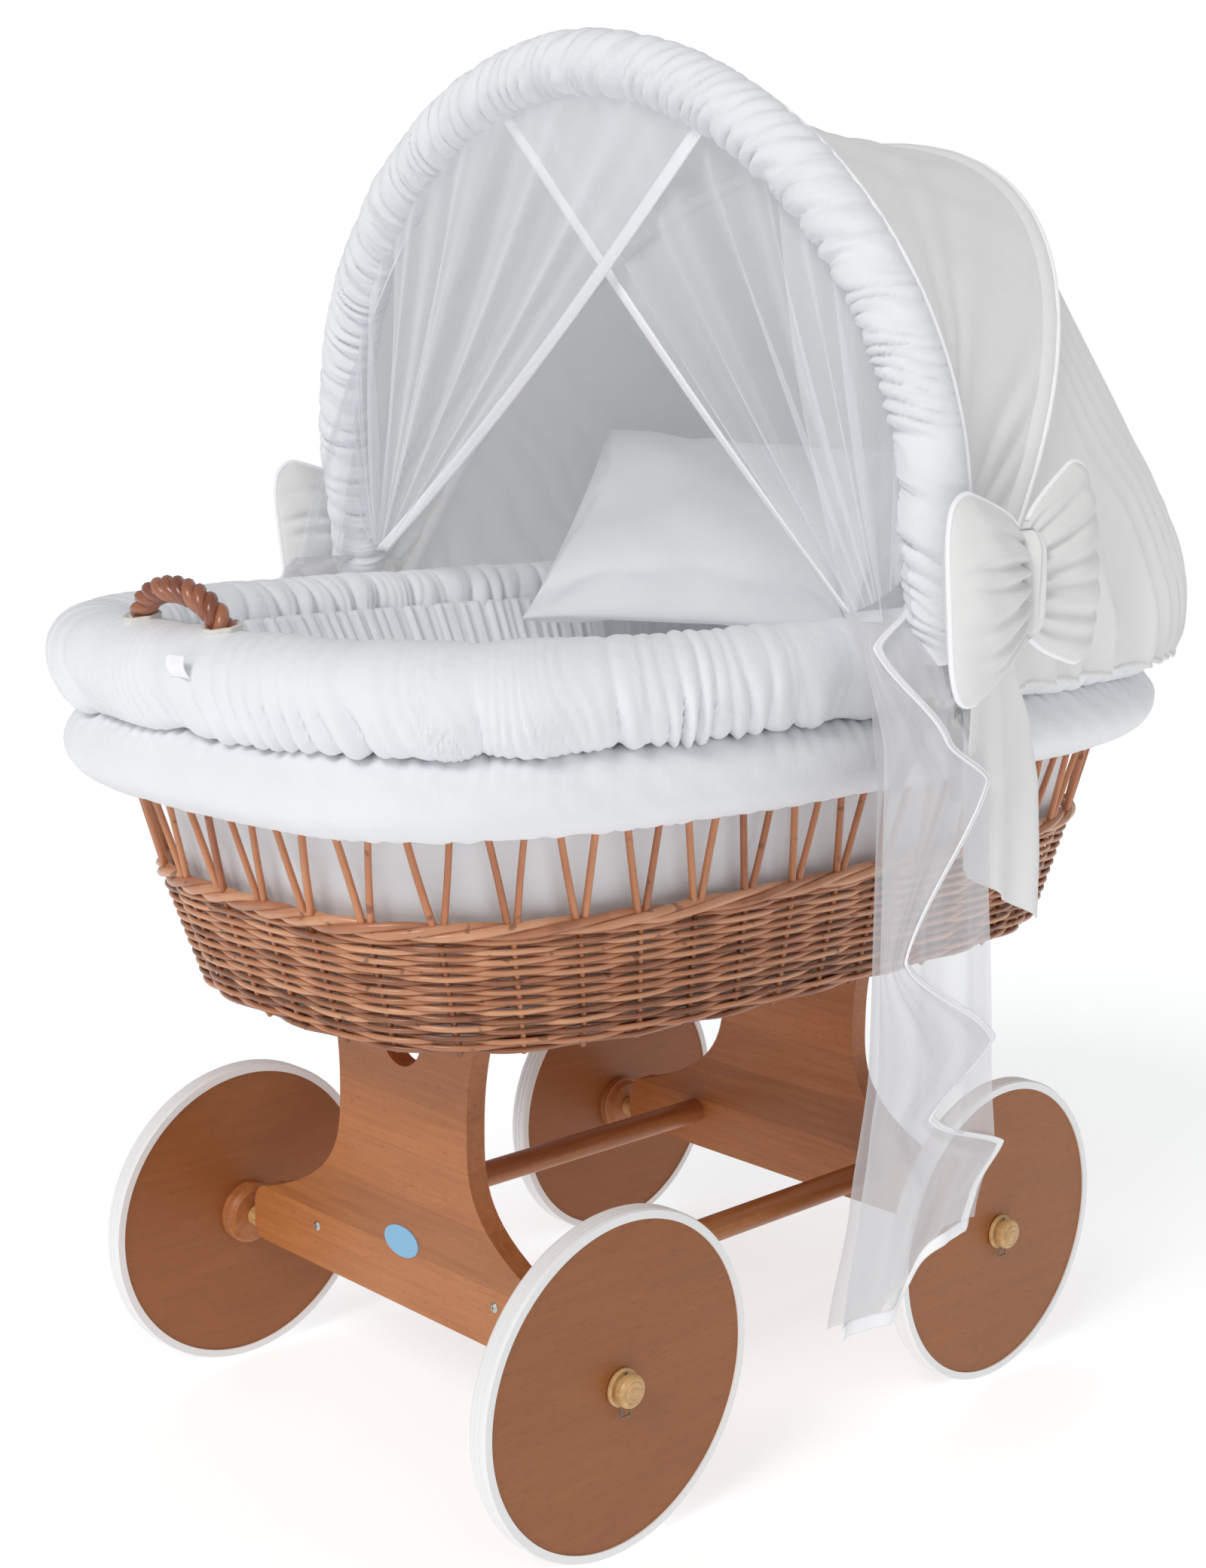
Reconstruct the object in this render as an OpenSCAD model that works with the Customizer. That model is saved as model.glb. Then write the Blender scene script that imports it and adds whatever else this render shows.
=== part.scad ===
// Wheeled wicker baby cradle with a folding fabric hood.
// Millimetres. Origin on the floor under the middle of the whole cradle,
// +X towards the hood (head) end, +Z up. The near side is -Y.
// The modules are drawn about the point midway between the four wheels,
// and from_middle() moves each one to the origin of the part.

/* [Wheels] */
// Diameter of each plywood wheel disc
disc_d = 280; // [240:5:290]
// Thickness of each plywood wheel disc
disc_t = 15; // [12:1:18]
// Radial thickness of the rubber tyre
tyre_t = 5; // [4:0.5:8]
// Distance from the centre plane to the inner face of a disc
track_half = 247; // [240:1:260]
// Distance between the foot and head axles
wheelbase = 500; // [460:5:520]
// Diameter of the steel stub axles
axle_d = 8; // [6:1:10]

/* [Stand] */
// Thickness of the two end boards
board_t = 20; // [18:1:25]
// Half width of the board across its feet
foot_half = 220; // [215:1:225]
// Half width of the board at its waist
waist_half = 86; // [75:1:100]
// Height of the board's bottom edge above the floor
board_low = 131; // [128:1:134]
// Height of the board's top edge, where the basket rests
board_top = 413; // [405:1:425]
// Diameter of the round grip hole
grip_d = 52; // [44:1:56]
// Width of the plain oval badge on the foot board
badge_w = 46; // [30:1:60]
// Height of the plain oval badge
badge_h = 28; // [20:1:36]
// Diameter of the turned stretcher rods
stretcher_d = 25; // [20:1:28]

/* [Basket] */
// Half length of the basket at its twisted border
border_a = 457; // [440:1:470]
// Half width of the basket at its twisted border
border_b = 251; // [240:1:260]
// Height of the twisted border
border_z = 519; // [515:1:525]
// Offset of the basket towards the head end
basket_x = 37; // [20:1:50]
// Squareness of the oval plan, 2 is an ellipse
oval_n = 3.4; // [2.4:0.1:4]
// Number of stake pairs round the basket
stake_pairs = 44; // [30:1:50]
// Diameter of one stake
stake_d = 5.6; // [4:0.2:6]

/* [Bedding] */
// Radius of the smooth bumper roll on the rim
bumper_r = 35; // [30:1:36]
// Radius of the gathered nest roll on top
nest_r = 36.5; // [32:0.5:37]
// Width of the pillow
pillow_w = 350; // [300:10:360]
// Height of the pillow
pillow_h = 300; // [250:10:320]

/* [Hood] */
// Lean of the padded front hoop, negative is towards the foot
hoop_tilt = -7.9; // [-12:0.1:-4]
// Lean of the rear rib
rib_tilt = 32; // [28:0.5:36]
// Height of the front hoop above its pivot
hoop_h = 522; // [500:1:540]
// Half width of the front hoop
hoop_b = 362; // [360:1:366]
// Radius of the front hoop's padding
pad_r = 26; // [22:1:27]
// Height of the rear rib above the pivot
rib_h = 556; // [530:1:570]
// Half width of the rear rib
rib_b = 351.2; // [351.2:0.1:351.6]

/* [Hidden] */

beech = "#b5713f";
pale_beech = "#e3c48f";
willow = "#b0683a";
cotton = "#f4f4f2";
voile = "#f7f8fa";
steel = "#9a9c9f";

wheel_r = disc_d / 2 + tyre_t;
axle_x = wheelbase / 2;
axle_r = axle_d / 2;
bore_r = axle_r + 0.05;
disc_out = track_half + disc_t;
cap_in = disc_out + 0.4;
groove_y = cap_in + 5.5;
hub_len = 15;
axle_end = cap_in + 10.5;
axle_start = 180;

foot_top = 186;
waist_z = 318;
stretcher_y = 122;
stretcher_z = 169;
screw_r = 2.5;
basket_screw_y = 60;
base_t = 8;
badge_t = 0.8;
// Distance from the point midway between the wheels to the middle of the cradle's length
middle_x = 51.525;

weave_low_a = 425;
weave_low_b = 234;
weave_top = 512;
weave_t = 7;
border_r = 6.9;
rim_z = 630;
rim_a = 489;
rim_b = 271;
rim_r = 6;
stake_r = stake_d / 2;
nest_z = 706;
nest_a = 505;
nest_b = 286;
roll_hollow_r = 11;
handle_half = 54;
handle_top = 768;
handle_lean = 10;
bumper_swell = 1.25;
liner_t = 2;

pivot_x = -5;
pivot_z = 667;
pivot_r = 4;
leg_start = 72;
leg_end = 180;
rib_leg_end = 90;
hoop_n = 1.9;
rib_n = 2.4;
hoop_r = 8;
rib_r = 6;
strap_t = 2.4;
ear_y = 338;
ear_t = 3;
lug_t = 3;
washer_t = 0.9;
gap = 0.1;
rib_lug_y = ear_y + ear_t + washer_t + 2 * gap;
sleeve_y = rib_lug_y + lug_t + washer_t + 2 * gap;
hoop_lug_y = hoop_b + hoop_r + gap;
core_start = 46;
lug_reach = 60;
sheet_t = 2;
veil_t = 1.2;
ring_steps = 64;

// ---------- shared shapes ----------

// Point on the basket's rounded plan at parameter t, for half sizes a and b
function oval(t, a, b, n = oval_n) =
    let (k = 1 / pow(pow(abs(cos(t)), n) + pow(abs(sin(t)), n), 1 / n))
    [k * a * cos(t), k * b * sin(t)];

function blend(p, q, u) = p * (1 - u) + q * u;

function unit(v) = v / norm(v);

function bezier(p, q, r, s, u) =
    pow(1 - u, 3) * p + 3 * u * pow(1 - u, 2) * q + 3 * u * u * (1 - u) * r + pow(u, 3) * s;

function skin_faces(count, ring, closed, strip) = concat(
    [
        for (i = [0 : count - (closed ? 1 : 2)], j = [0 : ring - 1])
            let (
                a = i * ring + j,
                b = i * ring + (j + 1) % ring,
                c = ((i + 1) % count) * ring + (j + 1) % ring,
                d = ((i + 1) % count) * ring + j
            )
            each [[a, d, c], [a, c, b]]
    ],
    closed ? [] : strip ? strip_caps(ring, (count - 1) * ring) : [
        [for (j = [0 : ring - 1]) j],
        [for (j = [ring - 1 : -1 : 0]) (count - 1) * ring + j]
    ]
);

// End faces of a thin sheet, whose section goes out and comes back, as pairs of triangles
function strip_caps(ring, top) = [
    for (j = [0 : ring / 2 - 2])
        let (b = j + 1, c = ring - 2 - j, d = ring - 1 - j)
        each [[j, b, c], [j, c, d], [top + j, top + c, top + b], [top + j, top + d, top + c]]
];

// Closed solid through a list of equal-length sections
module skin(sections, closed = false, strip = false) {
    polyhedron(
        points = [for (s = sections) each s],
        faces = skin_faces(len(sections), len(sections[0]), closed, strip),
        convexity = 8
    );
}

// Ring round the basket whose section is a list of [height, half length, half width]
module basket_ring(profile, steps = ring_steps) {
    last = len(profile) - 1;
    translate([basket_x, 0, 0])
        skin([
            for (i = [0 : steps - 1])
                [
                    for (j = [0 : last])
                        let (p = profile[last - j], q = oval(360 * i / steps, p[1], p[2]))
                        [q.x, q.y, p[0]]
                ]
        ], closed = true);
}

// Closed stack of ovals, each [height, half length, half width]
module oval_stack(layers, steps = 40, n = oval_n) {
    skin([
        for (p = layers)
            [
                for (i = [0 : steps - 1])
                    let (q = oval(360 * i / steps, p[1], p[2], n))
                    [q.x, q.y, p[0]]
            ]
    ]);
}

function round_profile(z, a, b, r, k = 16) = [
    for (i = [0 : k - 1])
        let (q = 360 * i / k)
        [z + r * sin(q), a + r * cos(q), b + r * cos(q)]
];

// Round tube along a list of points in space
module round_tube(path, r, k = 12) {
    last = len(path) - 1;
    skin([
        for (i = [0 : last])
            let (
                d = unit(path[min(i + 1, last)] - path[max(i - 1, 0)]),
                side = unit(cross(abs(d.z) < 0.9 ? [0, 0, 1] : [1, 0, 0], d)),
                up = cross(d, side)
            )
            [for (j = [0 : k - 1]) path[i] + r * (side * cos(360 * j / k) + up * sin(360 * j / k))]
    ]);
}

// ---------- wheels and axles ----------

// Puts local +Z along the axle, pointing outwards; end is -1 foot, 1 head; side is -1 near, 1 far
module at_wheel(end, side) {
    translate([end * axle_x, 0, wheel_r])
        rotate([-90 * side, 0, 0])
            children();
}

module at_wheels() {
    for (end = [-1, 1], side = [-1, 1])
        at_wheel(end, side)
            children();
}

module wheel_disc() {
    color(beech)
        translate([0, 0, track_half])
            difference() {
                cylinder(h = disc_t, r = disc_d / 2, $fn = 128);
                translate([0, 0, -1])
                    cylinder(h = disc_t + 2, r = bore_r, $fn = 48);
            }
}

module wheel_tyre() {
    lip = 3;
    lip_t = 1.5;
    rib = 1.2;
    r_in = disc_d / 2;
    z0 = track_half;
    z1 = disc_out;
    color("#f2f2f0")
        rotate_extrude($fn = 128)
            polygon([
                [r_in, z0], [r_in - lip, z0], [r_in - lip, z0 - lip_t], [wheel_r - rib, z0 - lip_t],
                [wheel_r, z0 + 1], [wheel_r, z0 + 4], [wheel_r - rib, z0 + 4.8],
                [wheel_r, z0 + 5.6], [wheel_r, z1 - 5.6], [wheel_r - rib, z1 - 4.8],
                [wheel_r, z1 - 4], [wheel_r, z1 - 1], [wheel_r - rib, z1 + lip_t],
                [r_in - lip, z1 + lip_t], [r_in - lip, z1], [r_in, z1]
            ]);
}

module wheel_hub() {
    base_r = 29;
    color(beech)
        rotate_extrude($fn = 96)
            polygon([
                [bore_r, track_half], [base_r, track_half], [base_r, track_half - 3],
                [base_r - 1.2, track_half - 4], [base_r, track_half - 5], [base_r, track_half - 7.5],
                [base_r - 2.5, track_half - 8.5], [base_r - 3.2, track_half - 10],
                [base_r - 5, track_half - hub_len], [bore_r, track_half - hub_len]
            ]);
}

module axles() {
    color(steel)
        at_wheels()
            difference() {
                translate([0, 0, axle_start])
                    cylinder(h = axle_end - axle_start, r = axle_r, $fn = 48);
                translate([0, 0, groove_y])
                    rotate([90, 0, 0])
                        cylinder(h = 2 * axle_d, r = 0.9, center = true, $fn = 24);
            }
}

module axle_spacers() {
    color(pale_beech)
        at_wheels()
            translate([0, 0, foot_half + 0.2])
                difference() {
                    cylinder(h = track_half - hub_len - foot_half - 0.5, r = 10, $fn = 48);
                    translate([0, 0, -1])
                        cylinder(h = 20, r = bore_r, $fn = 48);
                }
}

// Turned button with a flange, a groove for the clip and a domed face
module axle_cap() {
    top = cap_in + 17;
    difference() {
        rotate_extrude($fn = 96)
            polygon([
                [bore_r, cap_in], [15, cap_in], [16, cap_in + 0.8], [16, cap_in + 3],
                [15, cap_in + 4], [11, cap_in + 4.2], [11, cap_in + 6.8],
                [13.2, cap_in + 7], [14, cap_in + 8], [14, cap_in + 12], [13.2, cap_in + 13.6],
                [11.6, cap_in + 14.8], [9.6, cap_in + 15.2], [9, cap_in + 14.8], [8.4, cap_in + 15.6],
                [6.6, cap_in + 15.9], [5, cap_in + 15.7], [4.4, cap_in + 16.4], [3, top],
                [0, top], [0, cap_in + 11], [bore_r, cap_in + 11]
            ]);
        translate([0, 0, groove_y])
            rotate([90, 0, 0])
                cylinder(h = 40, r = 0.9, center = true, $fn = 24);
    }
}

module axle_caps() {
    color(pale_beech)
        at_wheels()
            axle_cap();
}

// Straight wire between two points
module wire(p, q, r) {
    d = q - p;
    translate(p)
        rotate([0, acos(d.z / norm(d)), atan2(d.y, d.x)])
            cylinder(h = norm(d), r = r, $fn = 20);
}

// Thin wire bent through a list of [x, z] points in the plane y = 0
module bent_wire(path, r) {
    sides = 10;
    last = len(path) - 1;
    skin([
        for (i = [0 : last])
            let (d = unit(path[min(i + 1, last)] - path[max(i - 1, 0)]))
            [
                for (j = [0 : sides - 1])
                    let (c = r * cos(360 * j / sides))
                    [path[i][0] + c * d[1], r * sin(360 * j / sides), path[i][1] - c * d[0]]
            ]
    ]);
}

module axle_clips() {
    wire_r = 0.7;
    color("#6d6a60")
        for (end = [-1, 1], side = [-1, 1])
            translate([end * axle_x, side * groove_y, wheel_r])
                bent_wire([
                    [0, 14.2], [0, -13.5], [-0.6, -14.6], [-3.6, -15.4], [-4.2, -16.2],
                    [-5.6, -22.2], [-5.1, -23], [5.1, -23], [5.6, -22.2], [4.3, -16.5]
                ], wire_r);
}

// ---------- stand ----------

// Half width of the end board at height z
function board_half(z) =
    z < waist_z
        ? waist_half + 112 * pow((waist_z - z) / (waist_z - foot_top), 3.5)
        : waist_half + 17 * pow((z - waist_z) / (board_top - waist_z), 2);

module board_outline() {
    low_r = 15;
    top_r = 22;
    steps = 30;
    side = concat(
        [for (q = [-90 : 15 : 0]) [foot_half - low_r + low_r * cos(q), board_low + low_r + low_r * sin(q)]],
        [for (q = [0 : 15 : 75]) [foot_half - top_r + top_r * cos(q), foot_top - top_r + top_r * sin(q)]],
        [
            for (i = [0 : steps])
                let (z = foot_top + (board_top - foot_top) * i / steps)
                [min(board_half(z), foot_half - top_r - 0.5), z]
        ]
    );
    polygon(concat(side, [for (i = [len(side) - 1 : -1 : 0]) [-side[i].x, side[i].y]]));
}

// Board standing across the stand, its inner face towards +X
module end_board() {
    color(beech)
        difference() {
            rotate([90, 0, 90])
                linear_extrude(board_t)
                    board_outline();
            translate([-1, 0, 376])
                rotate([0, 90, 0])
                    cylinder(h = board_t + 2, r = grip_d / 2, $fn = 64);
            for (side = [-1, 1]) {
                translate([-1, side * stretcher_y, stretcher_z])
                    rotate([0, 90, 0])
                        cylinder(h = board_t + 2, r = screw_r + 0.1, $fn = 32);
                translate([board_t / 2, side * (axle_start - 2), wheel_r])
                    rotate([-90 * side, 0, 0])
                        cylinder(h = 60, r = axle_r + 0.02, $fn = 48);
                translate([board_t / 2, side * basket_screw_y, board_top - 40])
                    cylinder(h = 50, r = screw_r + 0.1, $fn = 32);
            }
        }
}

module foot_board() {
    translate([-axle_x - board_t / 2, 0, 0])
        end_board();
}

module head_board() {
    translate([axle_x - board_t / 2, 0, 0])
        end_board();
}

module stretcher(side) {
    len = wheelbase - board_t;
    color(beech)
        translate([-len / 2, side * stretcher_y, stretcher_z])
            rotate([0, 90, 0])
                difference() {
                    cylinder(h = len, r = stretcher_d / 2, $fn = 48);
                    translate([0, 0, -1])
                        cylinder(h = 41, r = screw_r + 0.1, $fn = 32);
                    translate([0, 0, len - 40])
                        cylinder(h = 41, r = screw_r + 0.1, $fn = 32);
                }
}

// Screw along local +Z with a low domed cross head below zero
module wood_screw(length, head_r) {
    head_h = 2;
    union() {
        rotate_extrude($fn = 48)
            polygon([[0, -head_h], [head_r * 0.55, -head_h], [head_r, -0.6], [head_r, 0], [0, 0]]);
        cylinder(h = length, r = screw_r, $fn = 32);
    }
}

module cross_slot(head_r) {
    for (q = [0, 90])
        rotate([0, 0, q])
            translate([-head_r * 0.5, -0.5, -3])
                cube([head_r, 1, 2]);
}

module stretcher_screws() {
    head_r = 4.5;
    color(steel)
        for (end = [-1, 1], side = [-1, 1])
            translate([end * (axle_x + board_t / 2), side * stretcher_y, stretcher_z])
                rotate([0, -90 * end, 0])
                    difference() {
                        wood_screw(55, head_r);
                        cross_slot(head_r);
                    }
}

module badge_plate() {
    color("#8ec3e6")
        translate([-axle_x - board_t / 2, 0, 191])
            rotate([0, -90, 0])
                linear_extrude(badge_t)
                    scale([badge_h / 2, badge_w / 2])
                        circle(r = 1, $fn = 64);
}

// ---------- basket ----------

module basket_base() {
    color(willow)
        difference() {
            translate([basket_x, 0, board_top])
                linear_extrude(base_t)
                    polygon([
                        for (i = [0 : ring_steps - 1])
                            oval(360 * i / ring_steps, weave_low_a - weave_t - 3, weave_low_b - weave_t - 3)
                    ]);
            for (end = [-1, 1], side = [-1, 1])
                translate([end * axle_x, side * basket_screw_y, board_top - 1])
                    cylinder(h = base_t + 2, r = screw_r + 0.1, $fn = 32);
        }
}

module basket_weave() {
    top_a = border_a + 1.5;
    top_b = border_b + 1.5;
    color(willow)
        basket_ring([
            [board_top, weave_low_a - 6, weave_low_b - 6], [board_top + 6, weave_low_a, weave_low_b],
            [weave_top, top_a, top_b], [weave_top, top_a - weave_t, top_b - weave_t],
            [board_top + 6, weave_low_a - weave_t - 1, weave_low_b - weave_t - 1],
            [board_top, weave_low_a - weave_t - 2, weave_low_b - weave_t - 2]
        ]);
}

module basket_border() {
    color(willow)
        basket_ring(round_profile(border_z, border_a, border_b, border_r, 8));
}

// Point on the stake wall at height z and parameter t
function stake_point(t, z) =
    let (
        u = (z - border_z) / (rim_z - border_z),
        q = oval(t, border_a + (rim_a - border_a) * u, border_b + (rim_b - border_b) * u)
    )
    [basket_x + q.x, q.y, z];

module basket_stakes() {
    low = border_z + border_r + 1.2;
    high = rim_z - rim_r - 3.6;
    foot_spread = 0.55;
    head_spread = 1.9;
    color(willow)
        for (i = [0 : stake_pairs - 1], side = [-1, 1]) {
            t = 360 * (i + 0.5) / stake_pairs;
            wire(
                stake_point(t + side * foot_spread, low),
                stake_point(t + side * head_spread, high),
                stake_r
            );
        }
}

module basket_rim() {
    color(willow)
        basket_ring(round_profile(rim_z, rim_a, rim_b, rim_r, 8));
}

module basket_screws() {
    color(steel)
        for (end = [-1, 1], side = [-1, 1])
            translate([end * axle_x, side * basket_screw_y, board_top + base_t])
                rotate([180, 0, 0])
                    wood_screw(45, 6);
}

// Arched rope handle leaning outwards over one end of the basket
function handle_path(end) =
    let (foot_z = rim_z + rim_r + 7, shoulder_z = 738)
    [
        for (p = concat(
            [[-handle_half, foot_z], [-handle_half, (foot_z + shoulder_z) / 2]],
            [
                for (q = [180 : -15 : 0])
                    [handle_half * cos(q), shoulder_z + (handle_top - shoulder_z) * sin(q)]
            ],
            [[handle_half, (foot_z + shoulder_z) / 2], [handle_half, foot_z]]
        ))
            [basket_x + end * (rim_a - 1 + tan(handle_lean) * (p[1] - rim_z)), p[0], p[1]]
    ];

module rope_handle(end) {
    color("#a85a2c")
        round_tube(handle_path(end), 10.5);
}

// Straight passages that the handle legs take through the rolls
module handle_passages() {
    for (end = [-1, 1], side = [-1, 1])
        translate([basket_x + end * (rim_a - 1), side * handle_half, rim_z])
            rotate([0, end * handle_lean, 0])
                cylinder(h = 160, r = 14, $fn = 32);
}

// ---------- nest and bedding ----------

// Padded sleeve with a hollow for the rim and a slot below it for the stakes
function sleeve_profile(z, a, b, r, r_in, slot) =
    let (
        lean = -103,
        open_out = asin(slot / r),
        open_in = asin(slot / r_in),
        k = 12,
        outer = [for (i = [0 : k]) lean + open_out + (360 - 2 * open_out) * i / k],
        inner = [for (i = [0 : k / 2]) lean + 360 - open_in - (360 - 2 * open_in) * i / (k / 2)]
    )
    concat(
        [
            for (q = outer)
                let (out = r * cos(q) * (cos(q) > 0 ? bumper_swell : 1))
                [z + r * sin(q), a + out, b + out]
        ],
        [for (q = inner) [z + r_in * sin(q), a + r_in * cos(q), b + r_in * cos(q)]]
    );

module bumper_roll() {
    color(cotton)
        difference() {
            basket_ring(sleeve_profile(rim_z, rim_a, rim_b, bumper_r, roll_hollow_r, 6.5));
            handle_passages();
            for (side = [-1, 1])
                translate([pivot_x - 20, side * rim_b - 4, rim_z])
                    cube([40, 8, 60]);
        }
}

module nest_roll() {
    color(cotton)
        difference() {
            basket_ring(round_profile(nest_z, nest_a, nest_b, nest_r, 12));
            handle_passages();
        }
}

module nest_liner() {
    wall = [
        [base_t + board_top + 3, 412, 221], [border_z, 443, 238], [592, 464, 250],
        [634, 442, 225], [664, 444, 226]
    ];
    last = len(wall) - 1;
    color(cotton)
        basket_ring(concat(
            wall,
            [for (i = [last : -1 : 0]) [wall[i][0], wall[i][1] - liner_t, wall[i][2] - liner_t]]
        ));
}

module mattress() {
    low = board_top + base_t + 4;
    high = 526;
    color(cotton)
        translate([basket_x, 0, 0])
            oval_stack([
                [low, 396, 204], [low + 6, 405, 212], [low + 40, 406, 214],
                [high - 10, 405, 212], [high, 394, 200]
            ]);
}

module duvet() {
    low = 530;
    color(cotton)
        translate([basket_x, 0, 0])
            oval_stack([
                [low, 408, 206], [low + 14, 430, 222], [low + 62, 438, 224], [low + 92, 432, 216],
                [low + 114, 400, 196], [low + 127, 330, 160], [low + 133, 220, 104], [low + 135, 90, 40]
            ]);
}

// Square cushion, thickest in its middle, lying in its local XY plane
module cushion(w, h, t) {
    rings = [0.3, 0.55, 0.75, 0.88, 0.96, 1];
    last = len(rings) - 1;
    function bulge(k) = t / 2 * pow(1 - pow(k, 3), 0.7) + 1;
    oval_stack(concat(
        [for (k = rings) [-bulge(k), w / 2 * k, h / 2 * k]],
        [for (i = [last : -1 : 0]) [bulge(rings[i]), w / 2 * rings[i], h / 2 * rings[i]]]
    ), n = 4.5);
}

module pillow() {
    color(cotton)
        translate([118, 34, 674])
            rotate([0, 0, 25])
                rotate([0, -38, 0])
                    translate([pillow_h / 2, 0, 26])
                        rotate([0, 0, 90])
                            cushion(pillow_w, pillow_h, 84);
}

module fabric_tag() {
    color(cotton)
        translate([basket_x - nest_a - nest_r - 6, -62, 712])
            rotate([0, 12, 0])
                cube([0.8, 24, 14]);
}

// ---------- hood ----------

// Point of a hoop's plane: y across, s from the pivot, v behind the plane
function in_plane(y, s, v, tilt) =
    [pivot_x + s * sin(tilt) + v * cos(tilt), y, pivot_z + s * cos(tilt) - v * sin(tilt)];

// Arch as [y, s] pairs from the near leg over the top to the far leg
function arch(b, start, leg, h, n, steps = 32) = concat(
    [[-b, start], [-b, (start + leg) / 2]],
    [
        for (i = [0 : steps])
            let (c = cos(180 * i / steps), q = sin(180 * i / steps))
            [-b * sign(c) * pow(abs(c), 2 / n), leg + (h - leg) * pow(abs(q), 2 / n)]
    ],
    [[b, (start + leg) / 2], [b, start]]
);

function hoop_arch(start) = arch(hoop_b, start, leg_end, hoop_h, hoop_n);

function rib_arch(start) = arch(rib_b, start, rib_leg_end, rib_h, rib_n);

function outward(path, i) =
    let (last = len(path) - 1, d = unit(path[min(i + 1, last)] - path[max(i - 1, 0)]))
    [-d[1], d[0]];

module arch_tube(path, r, tilt, k = 12) {
    skin([
        for (i = [0 : len(path) - 1])
            let (o = outward(path, i))
            [
                for (j = [0 : k - 1])
                    let (q = 360 * j / k)
                    in_plane(
                        path[i][0] + r * cos(q) * o[0],
                        path[i][1] + r * cos(q) * o[1],
                        r * sin(q), tilt
                    )
            ]
    ]);
}

// Flat steel end plate of a hoop, from the pivot up along the leg, at distance y from the middle
module hoop_lug(side, y, tilt, reach) {
    translate([pivot_x, 0, pivot_z])
        rotate([0, tilt, 0])
            translate([0, side * y, 0])
                rotate([-90 * side, 0, 0])
                    difference() {
                        hull() {
                            cylinder(h = lug_t, r = 11, $fn = 32);
                            translate([0, side * reach, 0])
                                cylinder(h = lug_t, r = 7, $fn = 32);
                        }
                        translate([0, 0, -1])
                            cylinder(h = lug_t + 2, r = pivot_r + 0.05, $fn = 48);
                    }
}

module hood_brackets() {
    collar_r = 8.4;
    collar_l = 34;
    tongue_z = 666;
    color(steel)
        for (side = [-1, 1])
            difference() {
                union() {
                    translate([pivot_x - collar_l / 2, side * rim_b, rim_z])
                        rotate([0, 90, 0])
                            cylinder(h = collar_l, r = collar_r, $fn = 48);
                    translate([pivot_x - collar_l / 2, side * rim_b - strap_t / 2, rim_z + 7])
                        cube([collar_l, strap_t, tongue_z + strap_t - rim_z - 7]);
                    translate([pivot_x - collar_l / 2, side > 0 ? rim_b : -ear_y - ear_t, tongue_z])
                        cube([collar_l, ear_y + ear_t - rim_b, strap_t]);
                    translate([pivot_x - collar_l / 2, side > 0 ? ear_y : -ear_y - ear_t, pivot_z - 13])
                        cube([collar_l, ear_t, 26]);
                }
                translate([pivot_x - collar_l, side * rim_b, rim_z])
                    rotate([0, 90, 0])
                        cylinder(h = 2 * collar_l, r = rim_r + 0.6, $fn = 48);
                translate([pivot_x, side * 300, pivot_z])
                    rotate([-90 * side, 0, 0])
                        cylinder(h = 60, r = pivot_r + 0.05, $fn = 48);
                translate([pivot_x - 9, side > 0 ? ear_y - 12 : -ear_y, pivot_z - 9])
                    cube([18, 12, 18]);
            }
}

// Puts local +Z along the hood's pivot axis, pointing outwards
module on_pivot(side) {
    translate([pivot_x, 0, pivot_z])
        rotate([-90 * side, 0, 0])
            children();
}

module pivot_ring(length, r) {
    difference() {
        cylinder(h = length, r = r, $fn = 48);
        translate([0, 0, -1])
            cylinder(h = length + 2, r = pivot_r + 0.1, $fn = 48);
    }
}

// Shoulder bolt with its nut inside the bracket's ear
module hood_bolts() {
    nut_h = 4;
    head_y = hoop_lug_y + lug_t + washer_t + 2 * gap;
    color(steel)
        for (side = [-1, 1])
            on_pivot(side) {
                translate([0, 0, ear_y - nut_h - 0.2])
                    cylinder(h = nut_h, r = 7.4, $fn = 6);
                translate([0, 0, ear_y - nut_h - 1])
                    cylinder(h = head_y - ear_y + nut_h + 1.2, r = pivot_r, $fn = 48);
                translate([0, 0, head_y])
                    rotate_extrude($fn = 48)
                        polygon([[0, 0], [7.5, 0], [7.5, 1], [5, 3], [0, 3.4]]);
            }
}

module hood_washers() {
    color(steel)
        for (side = [-1, 1], y = [ear_y + ear_t, rib_lug_y + lug_t, hoop_lug_y + lug_t])
            on_pivot(side)
                translate([0, 0, y + gap])
                    pivot_ring(washer_t, 8.5);
}

// Tubes that keep the two hoops apart on the pivot bolts
module hood_sleeves() {
    color(steel)
        for (side = [-1, 1])
            on_pivot(side)
                translate([0, 0, sleeve_y])
                    pivot_ring(hoop_lug_y - sleeve_y - gap, 7.5);
}

module front_hoop() {
    color("#c9a26b")
        arch_tube(hoop_arch(core_start), hoop_r, hoop_tilt, 10);
}

module front_hoop_lugs() {
    color(steel)
        for (side = [-1, 1])
            hoop_lug(side, hoop_lug_y, hoop_tilt, lug_reach);
}

// Padding sleeve round the front hoop
module front_hoop_padding() {
    inner = hoop_r + 0.6;
    color(cotton)
        difference() {
            arch_tube(hoop_arch(leg_start), pad_r, hoop_tilt, 16);
            arch_tube(hoop_arch(leg_start - 10), inner, hoop_tilt, 10);
        }
}

module rear_rib() {
    color("#c9a26b")
        arch_tube(rib_arch(core_start), rib_r, rib_tilt, 10);
}

module rear_rib_lugs() {
    color(steel)
        for (side = [-1, 1])
            hoop_lug(side, rib_lug_y, rib_tilt, lug_reach);
}

// Thin closed sheet whose outer curve at station i is the list of points rows[i]
module sheet(rows, t, inner_point) {
    last = len(rows[0]) - 1;
    skin([
        for (row = rows)
            concat(row, [for (j = [last : -1 : 0]) row[j] + t * unit(inner_point - row[j])])
    ], strip = true);
}

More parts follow.
